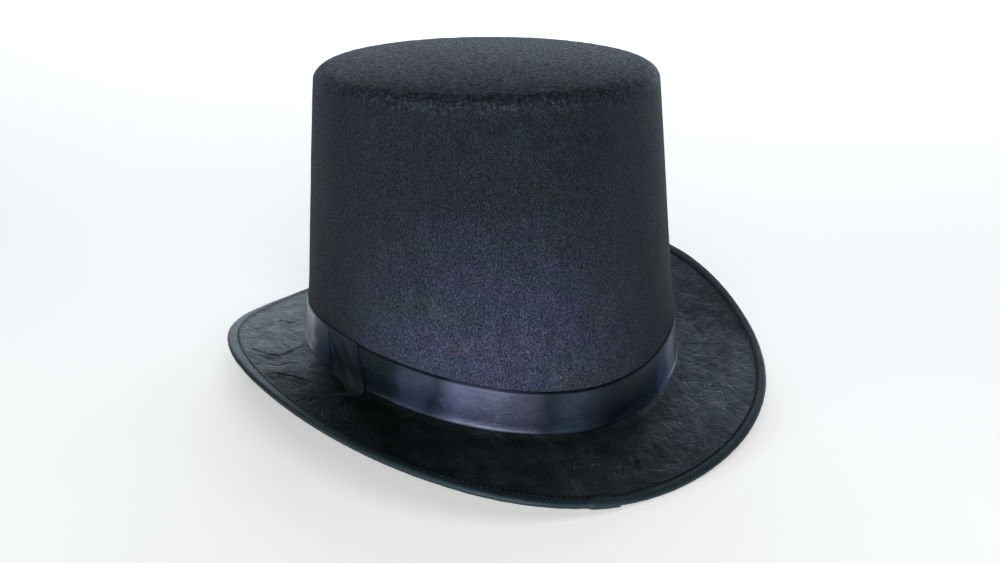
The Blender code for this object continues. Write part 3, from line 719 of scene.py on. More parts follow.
def crown_dress(points, normal, out, z):
    """The felt's own unevenness: broad waves, fibre clumps, the soft crease below the tip's edge, a slightly domed tip."""
    wall = smooth((TURN_Z + 5 * MM - z) / (8 * MM))
    broad = lumps(points, (45 * MM, 45 * MM, 70 * MM), 1) * 0.30 * MM
    clump = layered(points, (7 * MM, 7 * MM, 15 * MM), 2, 3) * 0.055 * MM
    grain = lumps(points, (3.0 * MM, 3.0 * MM, 7 * MM), 6) * (0.035 * MM)
    nap = lumps(points, 3.2 * MM, 8) * 0.11 * MM * (1 - wall)
    below = np.exp(-(((z - (TURN_Z - 1.0 * MM)) / (3.0 * MM)) ** 2)) * (0.7 + 0.5 * lumps(points, 30 * MM, 9))
    shift = broad * (0.35 + 0.65 * wall) + clump + grain + nap - 0.05 * MM * below
    foot = smooth((z - 24 * MM) / (8 * MM))  # quiet under the band
    shift = shift * (0.25 + 0.75 * foot)
    # the felt puffs out a little just above the band's tight upper edge
    above = z - (BAND_LOW + BAND_HEIGHT)
    puff = np.where(above > 0, smooth(above / (1.3 * MM)) * np.exp(-above / (5 * MM)), 0.0) * 0.75 * MM
    shift = shift + puff
    dome = 1.5 * MM * smooth((-out - 5 * MM) / (75 * MM))
    soft = np.clip((out + 26 * MM) / (26 * MM), 0, 1) ** 2 * np.clip((z - TURN_Z) / TIP_EDGE_R, 0, 1)
    moved = points + normal * shift[..., None]
    moved[..., 2] += dome - 1.7 * MM * soft + 0.8 * MM * smooth((z - 60 * MM) / (88 * MM)) + tip_lean(points, z)
    return moved


def crown():
    mesh = Rings()
    low = 5.9 * MM
    wall = [(0.0, z) for z in np.linspace(low, TURN_Z, even(TURN_Z - low, 1.28 * MM) + 1)]
    turn = arc(TURN_OUT, TURN_Z, TIP_EDGE_R, 0, 90, 10, skip=1)
    tip = [(o, CROWN_HEIGHT) for o in -np.linspace(TIP_EDGE_R, 97.5 * MM, 60)[1:]]
    rows, columns, last = wall + turn + tip, 480, None
    fine = np.arange(columns) * 2 * PI / columns
    profile = np.array(rows)
    grid = blocked(fine[:, None], profile[None, :, 0], profile[None, :, 1])
    normal = grid_normals(grid)
    normal *= np.sign((normal[:, 5] * (grid[:, 5] - grid[:, 5].mean(0))).sum())
    outer = crown_dress(grid, normal, profile[None, :, 0], profile[None, :, 1])
    count = columns
    first = None
    for i, (out, _z) in enumerate(rows):
        radius = 0.85 * (BLOCK_R + out)
        while count > 30 and 2 * PI * radius / count < 0.62 * MM:
            count //= 2
        ring = mesh.ring(outer[:: columns // count, i])
        if last is not None:
            mesh.join(last, ring)
        else:
            first = ring
        last = ring
    mesh.fan(last, outer[:, -1].mean(0))
    # inner face
    depth = FELT_T
    inner = [(-depth, low), (-depth, low), (-depth, 60 * MM), (-depth, 110 * MM)]
    inner += arc(TURN_OUT, TURN_Z, TIP_EDGE_R - depth, 0, 90, 4)
    inner += [(-SHOULDER, CROWN_HEIGHT - depth), (-60 * MM, CROWN_HEIGHT - depth), (-92 * MM, CROWN_HEIGHT - depth)]
    last, count = first, columns
    for i, (out, z) in enumerate(inner):
        if i in (1, 2):
            count //= 2
        points = blocked(np.arange(count) * 2 * PI / count, out, z)
        points[..., 2] += 0.5 * tip_lean(points, z)
        ring = mesh.ring(points)
        mesh.join(last, ring, back=True)
        last = ring
    mesh.fan(last, blocked(0.0, -BLOCK_R, CROWN_HEIGHT - depth), outward=False)
    return mesh.object("felt_crown", FELT)


felt_crown = place(crown(), "black_felt", "crown_felt")

# ---------------------------------------------------------------- brim

# Creases pressed into the brim's covers: points (degrees from the front, mm out from the crown), depth, width in mm
CREASES = [
    ([(-109.2, 34.2), (-107.3, 30.8), (-105.2, 25.5), (-104.5, 19.0), (-105.2, 13.8), (-108.2, 8.2), (-110.5, 2.0)], 0.85, 0.85),
    ([(-106.5, 38.0), (-105.0, 33.0), (-103.0, 27.5), (-101.0, 23.0)], 0.42, 1.12),
    ([(-95.5, 39.0), (-94.0, 35.5), (-94.2, 30.0), (-92.2, 23.0), (-89.0, 17.5), (-86.2, 14.5)], 0.70, 0.90),
    ([(-125.2, 34.0), (-123.2, 30.0), (-125.2, 25.0), (-128.2, 20.5)], 0.60, 0.80),
    ([(-134.8, 30.2), (-129.8, 23.5), (-131.2, 18.5), (-130.0, 12.0), (-132.5, 6.8)], 0.47, 1.12),
    ([(-117.0, 16.8), (-110.8, 13.0), (-107.8, 10.5)], 0.47, 1.00),
    ([(-123.5, 13.2), (-121.2, 8.2), (-116.7, 4.2)], 0.42, 1.00),
    ([(-99.0, 30.0), (-98.0, 24.0), (-99.5, 17.0), (-97.5, 12.0)], 0.34, 1.00),
    ([(-84.0, 36.0), (-80.0, 31.0), (-80.5, 25.0), (-77.0, 20.0)], 0.38, 1.12),
    ([(-68.0, 34.0), (-64.0, 29.0), (-62.0, 22.0)], 0.30, 1.25),
    ([(-50.0, 30.0), (-46.0, 33.0), (-41.0, 31.0), (-36.0, 34.0)], 0.19, 1.45),
    ([(56.0, 26.0), (52.8, 20.0), (48.5, 14.8), (43.5, 10.8)], 0.34, 1.16),
    ([(56.2, 10.2), (53.0, 12.5), (49.2, 14.0), (48.5, 16.8)], 0.28, 1.16),
    ([(43.0, 24.2), (40.0, 20.2), (38.5, 15.8), (35.0, 12.2)], 0.28, 1.16),
    ([(36.2, 29.0), (32.5, 26.0), (30.0, 22.8), (25.8, 20.0)], 0.28, 1.16),
    ([(40.2, 4.5), (38.0, 8.0), (37.8, 12.8)], 0.25, 1.16),
    ([(72.0, 30.0), (68.0, 24.0), (70.0, 17.0), (66.0, 11.0)], 0.28, 1.30),
    ([(-8.0, 30.2), (-4.8, 30.0), (-3.0, 33.2), (0.5, 33.0)], 0.22, 1.30),
    ([(-6.8, 21.8), (-7.5, 27.2), (-9.5, 31.5)], 0.28, 1.16),
    ([(15.2, 24.0), (10.8, 24.2), (6.5, 22.8), (1.8, 23.8)], 0.22, 1.30),
    ([(98.0, 33.0), (94.0, 27.0), (96.0, 19.0), (92.0, 12.0)], 0.34, 1.30),
    ([(112.0, 22.0), (107.0, 18.0), (104.0, 10.0)], 0.28, 1.30),
    ([(135.0, 31.0), (130.0, 26.0), (127.0, 17.0)], 0.25, 1.30),
    ([(160.0, 28.0), (154.0, 31.0), (149.0, 27.0)], 0.25, 1.30),
    ([(-172.0, 24.0), (-166.0, 28.0), (-160.0, 25.0)], 0.34, 1.12),
    ([(-150.0, 33.0), (-146.0, 26.0), (-148.0, 18.0), (-143.0, 12.0)], 0.42, 1.12),
]


def tape_width(phi):
    """The tape was sewn by hand on the wearer's right rear, where it lies further in over the brim's face."""
    near = (np.asarray(phi) - math.radians(-128) + PI) % (2 * PI) - PI
    return 1 + 0.36 * smooth(1.45 - np.abs(near) / math.radians(40))


def brim_line(top, fillet, wall, start, steps_wall, steps_fillet, steps_flat, end=REACH - COVER_END):
    line = [(-wall, z) for z in np.linspace(UPTURN, top + fillet, steps_wall + 1)]
    line += arc(-wall + fillet, top + fillet, fillet, 180, 270, steps_fillet, skip=1)
    line += [(o, top) for o in np.linspace(start, end, steps_flat + 1)[1:]]
    return np.array(line)


def creased(points, out, columns):
    """Depth of the pressed creases at each point of a brim grid."""
    depth = np.zeros(points.shape[:2])
    for line, deep, wide in CREASES:
        control = np.array(line, float)
        t = np.linspace(0, 1, 40)
        at = np.linspace(0, 1, len(control))
        degrees = np.interp(t, at, control[:, 0])
        outs = np.interp(t, at, control[:, 1]) * MM
        track = blocked(np.radians(degrees), outs, 0.0)
        track[:, :2] += np.stack([lumps(track, 4.5 * MM, 71), lumps(track, 4.5 * MM, 73)], -1) * 1.1 * MM
        near = np.full(points.shape[:2], 1.0)
        side = np.zeros(points.shape[:2])
        for a, b, s in zip(track[:-1], track[1:], (t[:-1] + t[1:]) / 2):
            d = b - a
            u = np.clip(((points - a) @ d) / (d @ d), 0, 1)
            away = np.linalg.norm(points - a - u[..., None] * d, axis=-1)
            closer = away < near
            near = np.where(closer, away, near)
            side = np.where(closer, s, side)
        fade = np.sin(PI * np.clip(side, 0.02, 0.98)) ** 0.5 * np.clip(0.85 + 0.9 * lumps(points, 5 * MM, 75), 0.25, 1.3)
        width = wide * MM
        depth -= deep * MM * fade * np.exp(-((near / width) ** 2))
        depth += 0.45 * deep * MM * fade * np.exp(-(((near - 2.1 * width) / (1.3 * width)) ** 2))
    return depth


def brim_top():
    columns = 720
    line = brim_line(0.0, FILLET_R, WALL_UNDER, CORNER, 3, 12, 42)
    phi = np.arange(columns) * 2 * PI / columns
    grid = blocked(phi[:, None], line[None, :, 0], line[None, :, 1])
    normal = grid_normals(grid)
    normal *= np.sign(normal[:, -10, 2].sum())
    out = line[None, :, 0]
    taped = BINDING_WIDTH * tape_width(phi)[:, None] + 0.5 * MM
    open_part = smooth((out - 1.0 * MM) / (4 * MM)) * smooth((REACH - taped - out) / (3 * MM))
    shift = layered(grid, 26 * MM, 2, 4) * 0.30 * MM
    shift = shift + layered(grid, (6 * MM, 7 * MM, 6 * MM), 2, 7) * 0.12 * MM
    # a net of fine wrinkles, where the cloth was pressed and has slackened again
    ridge = 1 - np.abs(layered(grid, (11 * MM, 9 * MM, 11 * MM), 2, 12)) * 4.5
    shift = shift - np.clip(ridge, 0, 1) ** 2 * 0.20 * MM * smooth((lumps(grid, 30 * MM, 14) + 0.45) / 0.8)
    cross = 1 - np.abs(layered(grid, (7 * MM, 8 * MM, 7 * MM), 2, 16)) * 5.0
    shift = shift - np.clip(cross, 0, 1) ** 2 * 0.17 * MM * smooth((lumps(grid, 24 * MM, 18) + 0.3) / 0.8)
    shift = shift + creased(grid, out, columns)
    face = grid + normal * (shift * open_part)[..., None]
    back_line = line[::4]
    back = blocked(phi[:, None], back_line[None, :, 0], back_line[None, :, 1]) - normal[:, ::4] * COVER_T
    return hoop("brim_upper_cloth", face, back, BRIM)


def brim_under():
    columns = 480
    line = brim_line(UNDER_TOP, CORNER + UNDER_WALL, UNDER_WALL, CORNER, 3, 12, 30)
    phi = np.arange(columns) * 2 * PI / columns
    grid = blocked(phi[:, None], line[None, :, 0], line[None, :, 1])
    normal = grid_normals(grid)
    normal *= np.sign(normal[:, -10, 2].sum())
    out = line[None, :, 0]
    taped = BINDING_WIDTH * tape_width(phi)[:, None] + 0.5 * MM
    open_part = smooth((out + 1.0 * MM) / (6 * MM)) * smooth((REACH - taped - out) / (3 * MM))
    shift = layered(grid, 30 * MM, 3, 22) * 0.25 * MM + layered(grid, 7 * MM, 2, 25) * 0.10 * MM
    face = grid - normal * (COVER_T + shift * open_part)[..., None]
    return hoop("brim_under_cloth", grid[:, ::4], face, BRIM)


brim_upper_cloth = place(brim_top(), "brim_felt", "brim_top_cover")
brim_under_cloth = place(brim_under(), "brim_felt", "brim_under_cover")
dress("brim_core", BOARD)
dress("crown_stiffener", BUCKRAM)
dress("brim_wire", STEEL)
dress("wire_joiner", BRASS)

# ---------------------------------------------------------------- binding

RIM = on_rim(np.linspace(0, 2 * PI, 1441), 3 * MM, 0.0)
RIM_LONG = float(np.linalg.norm(np.diff(RIM, axis=0), axis=1).sum())
PITCH = 2.7 * MM
STITCHES = even(RIM_LONG, PITCH)
FOLD_H = STACK / 2 + GAP + BINDING_T
_turns = np.linspace(0, 2 * PI, 1441)
_walked = np.concatenate([[0], np.cumsum(np.linalg.norm(np.diff(RIM, axis=0), axis=1))])


def rim_angle(distance):
    """The angle at a distance along the rim from the front, so that stitches are evenly spaced."""
    whole = np.floor(distance / RIM_LONG)
    return np.interp(distance - whole * RIM_LONG, _walked, _turns) + whole * 2 * PI


def rim_distance(phi):
    whole = np.floor(phi / (2 * PI))
    return np.interp(phi - whole * 2 * PI, _turns, _walked) + whole * RIM_LONG


def lap_rise(along):
    return smooth((along - (RIM_LONG - 4.5 * MM)) / (4.0 * MM)) * 0.58 * MM


def binding():
    start = float(rim_distance(BINDING_LAP_START))
    lap = float(rim_distance(BINDING_LAP_START + BINDING_LAP)) - start
    columns = 4 * STITCHES + 12
    # across the tape, from its upper inner edge over the fold to its lower inner edge
    upper = [(0.0, 0.20), (0.22, 0.36), (0.55, 0.42), (0.80, 0.34), (1.02, 0.14), (1.25, 0.15), (1.6, 0.38), (2.2, 0.46), (3.0, 0.49)]
    half = [(BINDING_WIDTH - i * MM, STACK / 2 + a * MM) for i, a in upper]
    radius = STACK / 2 + 0.47 * MM
    fold = [(radius * 0.98 - radius * 0.98 * math.cos(t), radius * math.sin(t)) for t in np.radians(np.linspace(80, -80, 11))]
    section = half + fold + [(i, -a) for i, a in half[::-1]]
    inset, above = np.array(section).T
    side = np.concatenate([[0], np.cumsum(np.hypot(np.diff(inset), np.diff(above)))])
    side -= side[-1] / 2
    width = side[-1] * 2
    along = np.linspace(0, RIM_LONG + lap, columns)
    slant = 0.55 * side  # the ends are cut on the cross, as on a bias tape
    distance = start + along[:, None] + slant[None, :] * smooth((along - (RIM_LONG + lap - 12 * MM)) / (12 * MM))[:, None]
    distance = distance + slant[None, :] * (1 - smooth(along / (10 * MM)))[:, None]
    phi = rim_angle(distance)
    over = lap_rise(along)
    beat = np.cos(2 * PI * distance / (RIM_LONG / STITCHES))
    edge = np.exp(-(((BINDING_WIDTH - np.abs(inset) - 1.0 * MM) / (0.9 * MM)) ** 2))[None, :]
    pucker = beat * edge * 0.07 * MM
    s = np.stack(np.broadcast_arrays(distance, side[None, :], 0.0), axis=-1)
    skew = s.copy()
    skew[..., 0] += 0.9 * side[None, :]
    folds = lumps(skew, (4.5 * MM, 12 * MM, 1.0), 31) * 0.085 * MM + layered(s, (24 * MM, 9 * MM, 1.0), 2, 33) * 0.12 * MM
    swell = (over[:, None] + pucker + folds) * np.ones_like(s[..., 0])
    # push outwards from the fold's centre line
    centre = np.minimum(inset, radius)
    direction = np.stack([np.where(inset < radius, -(radius - inset), 0.0), above], axis=-1)
    direction = direction / np.linalg.norm(direction, axis=-1, keepdims=True)
    wider = tape_width(phi)
    face = on_rim(phi, (inset[None, :] + direction[None, :, 0] * swell) * wider, above[None, :] + direction[None, :, 1] * swell)
    thin = BINDING_T * 0.9
    pick = np.round(np.linspace(0, len(inset) - 1, 9)).astype(int)
    inner_in = inset[pick] - direction[pick, 0] * thin
    inner_ab = above[pick] - direction[pick, 1] * thin
    back = on_rim(phi[:, pick], (inner_in[None, :] + direction[None, pick, 0] * swell[:, pick]) * wider[:, pick], inner_ab[None, :] + direction[None, pick, 1] * swell[:, pick])
    lay_face = np.stack(np.broadcast_arrays(distance, side[None, :], 0.0), axis=-1)
    lay_back = lay_face[:, pick] + (0, 0, 0.001)
    return strap("satin_binding", face, back, TAPE, lay=(lay_face, lay_back)), width


satin_binding, binding_cut = binding()
place(satin_binding, "binding_satin", "edge_binding")


def rim_stitches(name, sign):
    at = (np.arange(STITCHES) + 0.5) * RIM_LONG / STITCHES
    inset = BINDING_WIDTH - 1.12 * MM
    start = float(rim_distance(BINDING_LAP_START))
    lap = float(rim_distance(BINDING_LAP_START + BINDING_LAP)) - start
    along = (at - start) % RIM_LONG
    above = STACK / 2 + 0.36 * MM + lap_rise(np.where(along < lap, along + RIM_LONG, along))
    half = 0.39 * RIM_LONG / STITCHES
    wander = lumps(np.stack([at, at * 0, at * 0], -1), 6 * MM, 41) * 0.06 * MM
    ends = [on_rim(rim_angle(at + s * half), (inset + wander) * tape_width(rim_angle(at)), sign * above) for s in (-1, 1)]
    return stitches(name, *ends, brim_normal(rim_angle(at)) * sign, 0.17 * MM, THREAD)


place(rim_stitches("binding_stitches_upper", 1), "black_thread", "binding_thread_upper")
place(rim_stitches("binding_stitches_under", -1), "black_thread", "binding_thread_under")

# ---------------------------------------------------------------- hatband

WALK = blocked(np.linspace(-PI, PI, 1441), 0.0, 12 * MM)
_angles = np.linspace(-PI, PI, 1441)
_band_walk = np.concatenate([[0], np.cumsum(np.linalg.norm(np.diff(WALK, axis=0), axis=1))])


def band_distance(phi):
    return np.interp((np.asarray(phi) + PI) % (2 * PI) - PI, _angles, _band_walk)


def band_face(phi, z):
    """How far the ribbon's face stands out from the crown: soft waves along it, its edges a little proud."""
    d = band_distance(phi)
    p = np.stack(np.broadcast_arrays(d, z, 0.0), axis=-1)
    near_join = np.exp(-((((phi - (WRAP_FROM + WRAP_TO) / 2 + PI) % (2 * PI) - PI) / 0.16) ** 2))
    t = (z - BAND_LOW) / BAND_HEIGHT
    wave = lumps(p, (30 * MM, 40 * MM, 1.0), 51) * 0.45 * MM + lumps(p, (11 * MM, 30 * MM, 1.0), 53) * 0.20 * MM
    wave = wave * (0.35 + 0.65 * np.sin(PI * np.clip(t, 0, 1)))
    belly = 0.22 * MM * np.sin(PI * np.clip(t, 0, 1))
    foot = 0.22 * MM * smooth((0.16 - t) / 0.16) + 0.45 * MM * smooth((0.045 - t) / 0.045)
    return 0.72 * MM + (wave + belly) * (1 - 0.8 * near_join) + foot + 0.12 * MM


def hatband():
    columns, rows = 900, 26
    middle = (WRAP_FROM + WRAP_TO) / 2
    phi = np.linspace(middle + math.radians(0.25), middle + 2 * PI - math.radians(0.25), columns)
    t = np.concatenate([[0, 0.012, 0.03, 0.06], np.linspace(0.10, 0.90, rows - 8), [0.94, 0.97, 0.988, 1.0]])
    z = BAND_LOW + BAND_HEIGHT * t
    bulge = np.concatenate([[-0.10, 0.04, 0.0, 0.0], np.zeros(rows - 8), [0.0, -0.03, -0.07, -0.13]]) * MM
    out = band_face(phi[:, None], z[None, :]) + bulge[None, :]
    uneven = lumps(np.stack([band_distance(phi), phi * 0, phi * 0], -1), 40 * MM, 57)[:, None] * 0.18 * MM
    face = blocked(phi[:, None], out, z[None, :] + uneven)
    pick = [0, 2, 8, 13, 18, 23, rows - 1]
    back = blocked(phi[:, None], out[:, pick] - RIBBON_T * 0.9, (z[None, :] + uneven)[:, pick])
    lay = np.stack(np.broadcast_arrays(band_distance(phi)[:, None], (z - BAND_LOW)[None, :], 0.0), axis=-1)
    return strap("satin_hatband", face, back, SATIN, lay=(lay, lay[:, pick] + (0, 0, 0.001)), sharp=28)


satin_hatband = place(hatband(), "navy_black_satin", "hatband_ribbon")


def wrap():
    """The short piece over the band's ends: hooked over the upper edge, folded along its front, its corner lying out on the brim."""
    across, down = 38, 76
    u = np.linspace(0, 1, across)
    v = np.linspace(0, 1, down)
    top, low = BAND_LOW + BAND_HEIGHT + 0.75 * MM, 6 * MM
    tail = (1.1 + 10.0 * u**3.0) * MM
    rest = FILLET_R - 0.55 * MM
    ring_out = 1.5 * MM
    meet = math.acos((CORNER - ring_out) / rest)
    line_out, line_z = np.zeros((across, down)), np.zeros((across, down))
    for i in range(across):
        path = [(0.4 * MM, top - 0.15 * MM), (0.7 * MM, top + 0.05 * MM), (1.05 * MM, top - 0.05 * MM), (1.12 * MM, top - 0.6 * MM), (1.15 * MM, 0.55 * top), (ring_out, low)]
        for k in range(1, 11):
            far = tail[i] * k / 10
            turn = meet + far / rest
            if turn > PI / 2:
                path.append((CORNER + far - (PI / 2 - meet) * rest, FILLET_R - rest))
            else:
                path.append((CORNER - rest * math.cos(turn), FILLET_R - rest * math.sin(turn)))
        path = np.array(path)
        walk = np.concatenate([[0], np.cumsum(np.hypot(*np.diff(path, axis=0).T))])
        at = v * walk[-1]
        line_out[i], line_z[i] = np.interp(at, walk, path[:, 0]), np.interp(at, walk, path[:, 1])
    phi = (WRAP_FROM + (WRAP_TO - WRAP_FROM) * u)[:, None] + WRAP_SKEW * (1 - line_z / top) - math.radians(5.0) * (u**2)[:, None] * smooth((line_out - CORNER) / (8 * MM))
    d = band_distance(phi)
    p = np.stack([d, line_z, 0 * d], axis=-1)
    skew = p.copy()
    skew[..., 0] += 0.55 * p[..., 1]
    crease = lumps(skew, (7.0 * MM, 24 * MM, 1.0), 61) * 0.26 * MM + lumps(skew, (3 * MM, 9 * MM, 1.0), 63) * 0.07 * MM
    # the rounded fold at its front edge, pressed flat higher up
    fold = np.exp(-(((u - 0.955) / 0.05) ** 2))[:, None] * (0.02 + 0.52 * smooth((v - 0.45) / 0.35))[None, :] * MM
    back_fold = np.exp(-(((u - 0.05) / 0.05) ** 2))[:, None] * 0.10 * MM
    # a hollow near its rear lower corner, where the cloth is drawn in under the band's edge
    hollow = np.exp(-(((u - 0.22) / 0.22) ** 2))[:, None] * np.exp(-(((line_z - 8 * MM) / (4.5 * MM)) ** 2)) * 0.55 * MM
    ridge = np.exp(-(((u[:, None] - 0.62 + 0.25 * (1 - v[None, :])) / 0.13) ** 2)) * smooth((v - 0.35) / 0.35)[None, :] * 0.42 * MM
    hang = smooth((v - 0.80) / 0.20)[None, :] * (u**2)[:, None] * 0.35 * MM
    calm = smooth(v / 0.12)[None, :]
    out = line_out + np.maximum(crease - hollow, -0.40 * MM) * calm * smooth((1.05 - v) / 0.25)[None, :] + (fold + back_fold + ridge) * calm
    face = blocked(phi, out, line_z + hang)
    normal = grid_normals(face, ring=False)
    centre = np.array([0.0, 0.0, face[..., 2].mean()])
    if ((face - centre) * normal).sum() < 0:
        normal = -normal
    back = face - normal * RIBBON_T * 0.9
    lay = np.stack([line_z, (u[:, None] - 0.5) * 24 * MM + 0 * d, 0 * d], axis=-1)  # the piece's own length runs up and down
    step = [0, *range(3, down - 2, 4), down - 1]
    return strap("satin_join_wrap", face, back[:, step], TAB, lay=(lay, lay[:, step] + (0, 0, 0.001)))


satin_join_wrap = place(wrap(), "navy_black_satin", "band_join_wrap")

# ---------------------------------------------------------------- inside the crown


def side_lining():
    columns, rows = 420, 46
    phi = np.arange(columns) * 2 * PI / columns
    z = np.linspace(16 * MM, LINING_SEAM_Z, rows)
    t = (z - z[0]) / (z[-1] - z[0])
    walk = phi * 0.095
    p = np.stack(np.broadcast_arrays(np.cos(phi)[:, None] * 0.095, np.sin(phi)[:, None] * 0.095, z[None, :]), -1)
    hang = np.sin(PI * np.clip(t, 0, 1))[None, :] ** 0.7
    folds = np.clip(layered(p, (17 * MM, 17 * MM, 120 * MM), 2, 71) + 0.15, 0, 2) * 2.4 * MM
    soft = np.clip(lumps(p, (30 * MM, 30 * MM, 38 * MM), 73) + 0.4, 0, 2) * 0.9 * MM
    gather = (0.5 + 0.5 * np.cos(walk[:, None] / (2.6 * MM) + 2 * lumps(p, 20 * MM, 75))) * 0.55 * MM * smooth((t - 0.86) / 0.14)[None, :]
    depth = LINING_DEPTH + LINING_T + (folds + soft) * hang + gather
    face = blocked(phi[:, None], -depth, z[None, :])
    back = blocked(phi[:, None], -(depth[:, ::5] - LINING_T * 0.9), z[None, ::5])
    return hoop("lining_side_cloth", back, face, LINING)


def tip_lining():
    mesh = Rings()
    columns = 360
    depth = LINING_DEPTH + LINING_T
    line = arc(TURN_OUT, TURN_Z, TIP_EDGE_R - depth, 0, 90, 6)
    line += [(o, CROWN_HEIGHT - depth) for o in -np.linspace(TIP_EDGE_R, 97 * MM, 44)[1:]]
    line = np.array(line)
    phi = np.arange(columns) * 2 * PI / columns
    grid = blocked(phi[:, None], line[None, :, 0], line[None, :, 1])
    inwards = smooth((-line[:, 0] - 7 * MM) / (60 * MM))
    grid[..., 2] -= (2.4 * MM * inwards)[None, :]
    pleat = 0.5 + 0.5 * np.cos(phi[:, None] * 58 + 3 * lumps(grid, 25 * MM, 81))
    near_seam = np.exp(-((np.arange(len(line)) / 9.0) ** 2))[None, :]
    grid[..., 2] -= pleat * near_seam * 0.5 * MM * smooth((np.arange(len(line)) - 1) / 5.0)[None, :]
    grid[..., 2] += layered(grid, 22 * MM, 3, 83) * 0.35 * MM * inwards[None, :]
    top = grid[:, ::4].copy()
    top[..., 2] += LINING_T
    last, first, count = None, None, columns
    for i, (out, _z) in enumerate(line):
        radius = 0.85 * (BLOCK_R + out)
        while count > 45 and 2 * PI * radius / count < 0.8 * MM and count % 2 == 0:
            count //= 2
        ring = mesh.ring(grid[:: columns // count, i])
        if last is not None:
            mesh.join(last, ring)
        else:
            first = ring
        last = ring
    mesh.fan(last, grid[:, -1].mean(0))
    last, count = first, columns
    for i in range(0, top.shape[1]):
        if i in (4, 7, 9):
            count //= 2
        ring = mesh.ring(top[:: columns // count, i])
        mesh.join(last, ring, back=True)
        last = ring
    mesh.fan(last, top[:, -1].mean(0), outward=False)
    return mesh.object("lining_tip_cloth", LINING)


lining_side_cloth = place(side_lining(), "lining_satin", "lining_side")
lining_tip_cloth = place(tip_lining(), "lining_satin", "lining_tip")


def wall_stitches(name, depth, z, pitch, radius, start=-PI, end=PI, sunk=0.0, tilt=0.0, fill=0.36):
    walk = band_distance(np.array([start + 1e-6, end - 1e-6]))
    total = float(walk[1] - walk[0])
    count = even(total, pitch)
    at = walk[0] + (np.arange(count) + 0.5) * total / count
    half = fill * total / count
    points = []
    for s in (-1, 1):
        phi = np.interp(at + s * half, _band_walk, _angles)
        points.append(blocked(phi, -(depth + sunk), z + s * tilt))
    phi = np.interp(at, _band_walk, _angles)
    inwards = unit(blocked(phi, -(depth + 2 * MM), z) - blocked(phi, -depth, z))
    return stitches(name, *points, inwards, radius, THREAD)


place(
    wall_stitches("lining_seam_stitches", LINING_DEPTH + LINING_T + 0.75 * MM, LINING_SEAM_Z - THREAD_R, 3.2 * MM, 0.2 * MM, tilt=0.25 * MM),
    "black_thread",
    "lining_seam_thread",
)
place(
    wall_stitches("crown_seam_stitches", SEAM_DEPTH - 0.1 * MM, 8.5 * MM, 3.6 * MM, 0.2 * MM),
    "black_thread",
    "crown_brim_seam_thread",
)


def sweat_band():
    """Leatherette strip with a rolled lower edge, its ends lapped at the back."""
    start = -PI - SWEATBAND_LAP / 2
    turn = 2 * PI
    rise = math.radians(3.0)
    phi = np.concatenate([np.linspace(start, start + turn - rise, 560), np.linspace(start + turn - rise, start + turn + SWEATBAND_LAP, 50)[1:]])
    over = smooth((phi - (start + turn - rise)) / (0.9 * rise))
    t = np.concatenate([[0, 0.01, 0.028, 0.05, 0.08], np.linspace(0.12, 0.95, 20), [0.97, 0.985, 1.0]])
    z = SWEAT_LOW + SWEATBAND_HEIGHT * t
    roll = np.where(t < 0.05, -0.35 * (1 - t / 0.05) ** 2, 0.0) * MM
    top = np.where(t > 0.97, -0.30 * ((t - 0.97) / 0.03) ** 2, 0.0) * MM
    p = np.stack(np.broadcast_arrays(np.cos(phi)[:, None] * 0.09, np.sin(phi)[:, None] * 0.09, z[None, :]), -1)
    wave = lumps(p, (30 * MM, 30 * MM, 50 * MM), 91) * 0.5 * MM * smooth(t / 0.5)[None, :]
    pinch = np.exp(-(((z - (SWEAT_LOW + 3 * MM)) / (0.9 * MM)) ** 2))[None, :] * 0.18 * MM
    depth = SWEAT_DEPTH + SWEATBAND_T + np.maximum(wave, -0.3 * MM) + (roll + top)[None, :] + over[:, None] * (SWEATBAND_T + 0.25 * MM) - pinch
    face = blocked(phi[:, None], -depth, z[None, :])
    pick = [0, 2, 4, 9, 14, 19, 24, len(t) - 1]
    back = blocked(phi[:, None], -(depth[:, pick] - SWEATBAND_T * np.array([0.5, 1, 1, 1, 1, 1, 1, 0.6])[None, :]), z[None, pick])
    run = phi * 0.094
    lay = np.stack(np.broadcast_arrays(run[:, None], z[None, :], 0.0), -1)
    return strap("leather_sweatband", face, back, LEATHER, lay=(lay, lay[:, pick] + (0, 0, 0.001)))


leather_sweatband = place(sweat_band(), "sweatband_leatherette", "sweatband")
place(
    wall_stitches(
        "sweatband_stitches", SWEAT_DEPTH + SWEATBAND_T - 0.05 * MM, SWEAT_LOW + 3 * MM, 2.9 * MM, 0.21 * MM,
        start=-PI + math.radians(6.5), end=PI - math.radians(6.5),
    ),
    "black_thread",
    "sweatband_thread",
)


def label():
    """A blank woven label, its ends folded under and a corner lifting slightly."""
    across, down = 26, 34
    u, v = np.linspace(0, 1, across), np.linspace(0, 1, down)
    phi = np.radians(160 + 7 * u)
    z = (6.5 + 15.5 * v) * MM
    lift = 0.55 * MM * np.outer(smooth((u - 0.5) / 0.5), smooth((v - 0.6) / 0.4))
    curl = 0.30 * MM * (2 * u[:, None] - 1) ** 2
    fold = np.exp(-(((v - 0.96) / 0.03) ** 2))[None, :] * 0.12 * MM + np.exp(-(((v - 0.04) / 0.03) ** 2))[None, :] * 0.12 * MM
    p = np.stack(np.broadcast_arrays(u[:, None] * 0.0115, z[None, :], 0.0), -1)
    depth = SWEAT_DEPTH + SWEATBAND_T + 0.75 * MM + lift + curl + fold + lumps(p, 5 * MM, 95) * 0.08 * MM
    face = blocked(phi[:, None], -depth, z[None, :])
    back = blocked(phi[:, None], -(depth - 0.3 * MM), z[None, :])[:, ::3]
    lay = np.stack(np.broadcast_arrays(u[:, None] * 0.0115, z[None, :], 0.0), -1)
    return strap("blank_label", face, back, LABEL, lay=(lay, lay[:, ::3]))


blank_label = place(label(), "woven_label", "care_label")

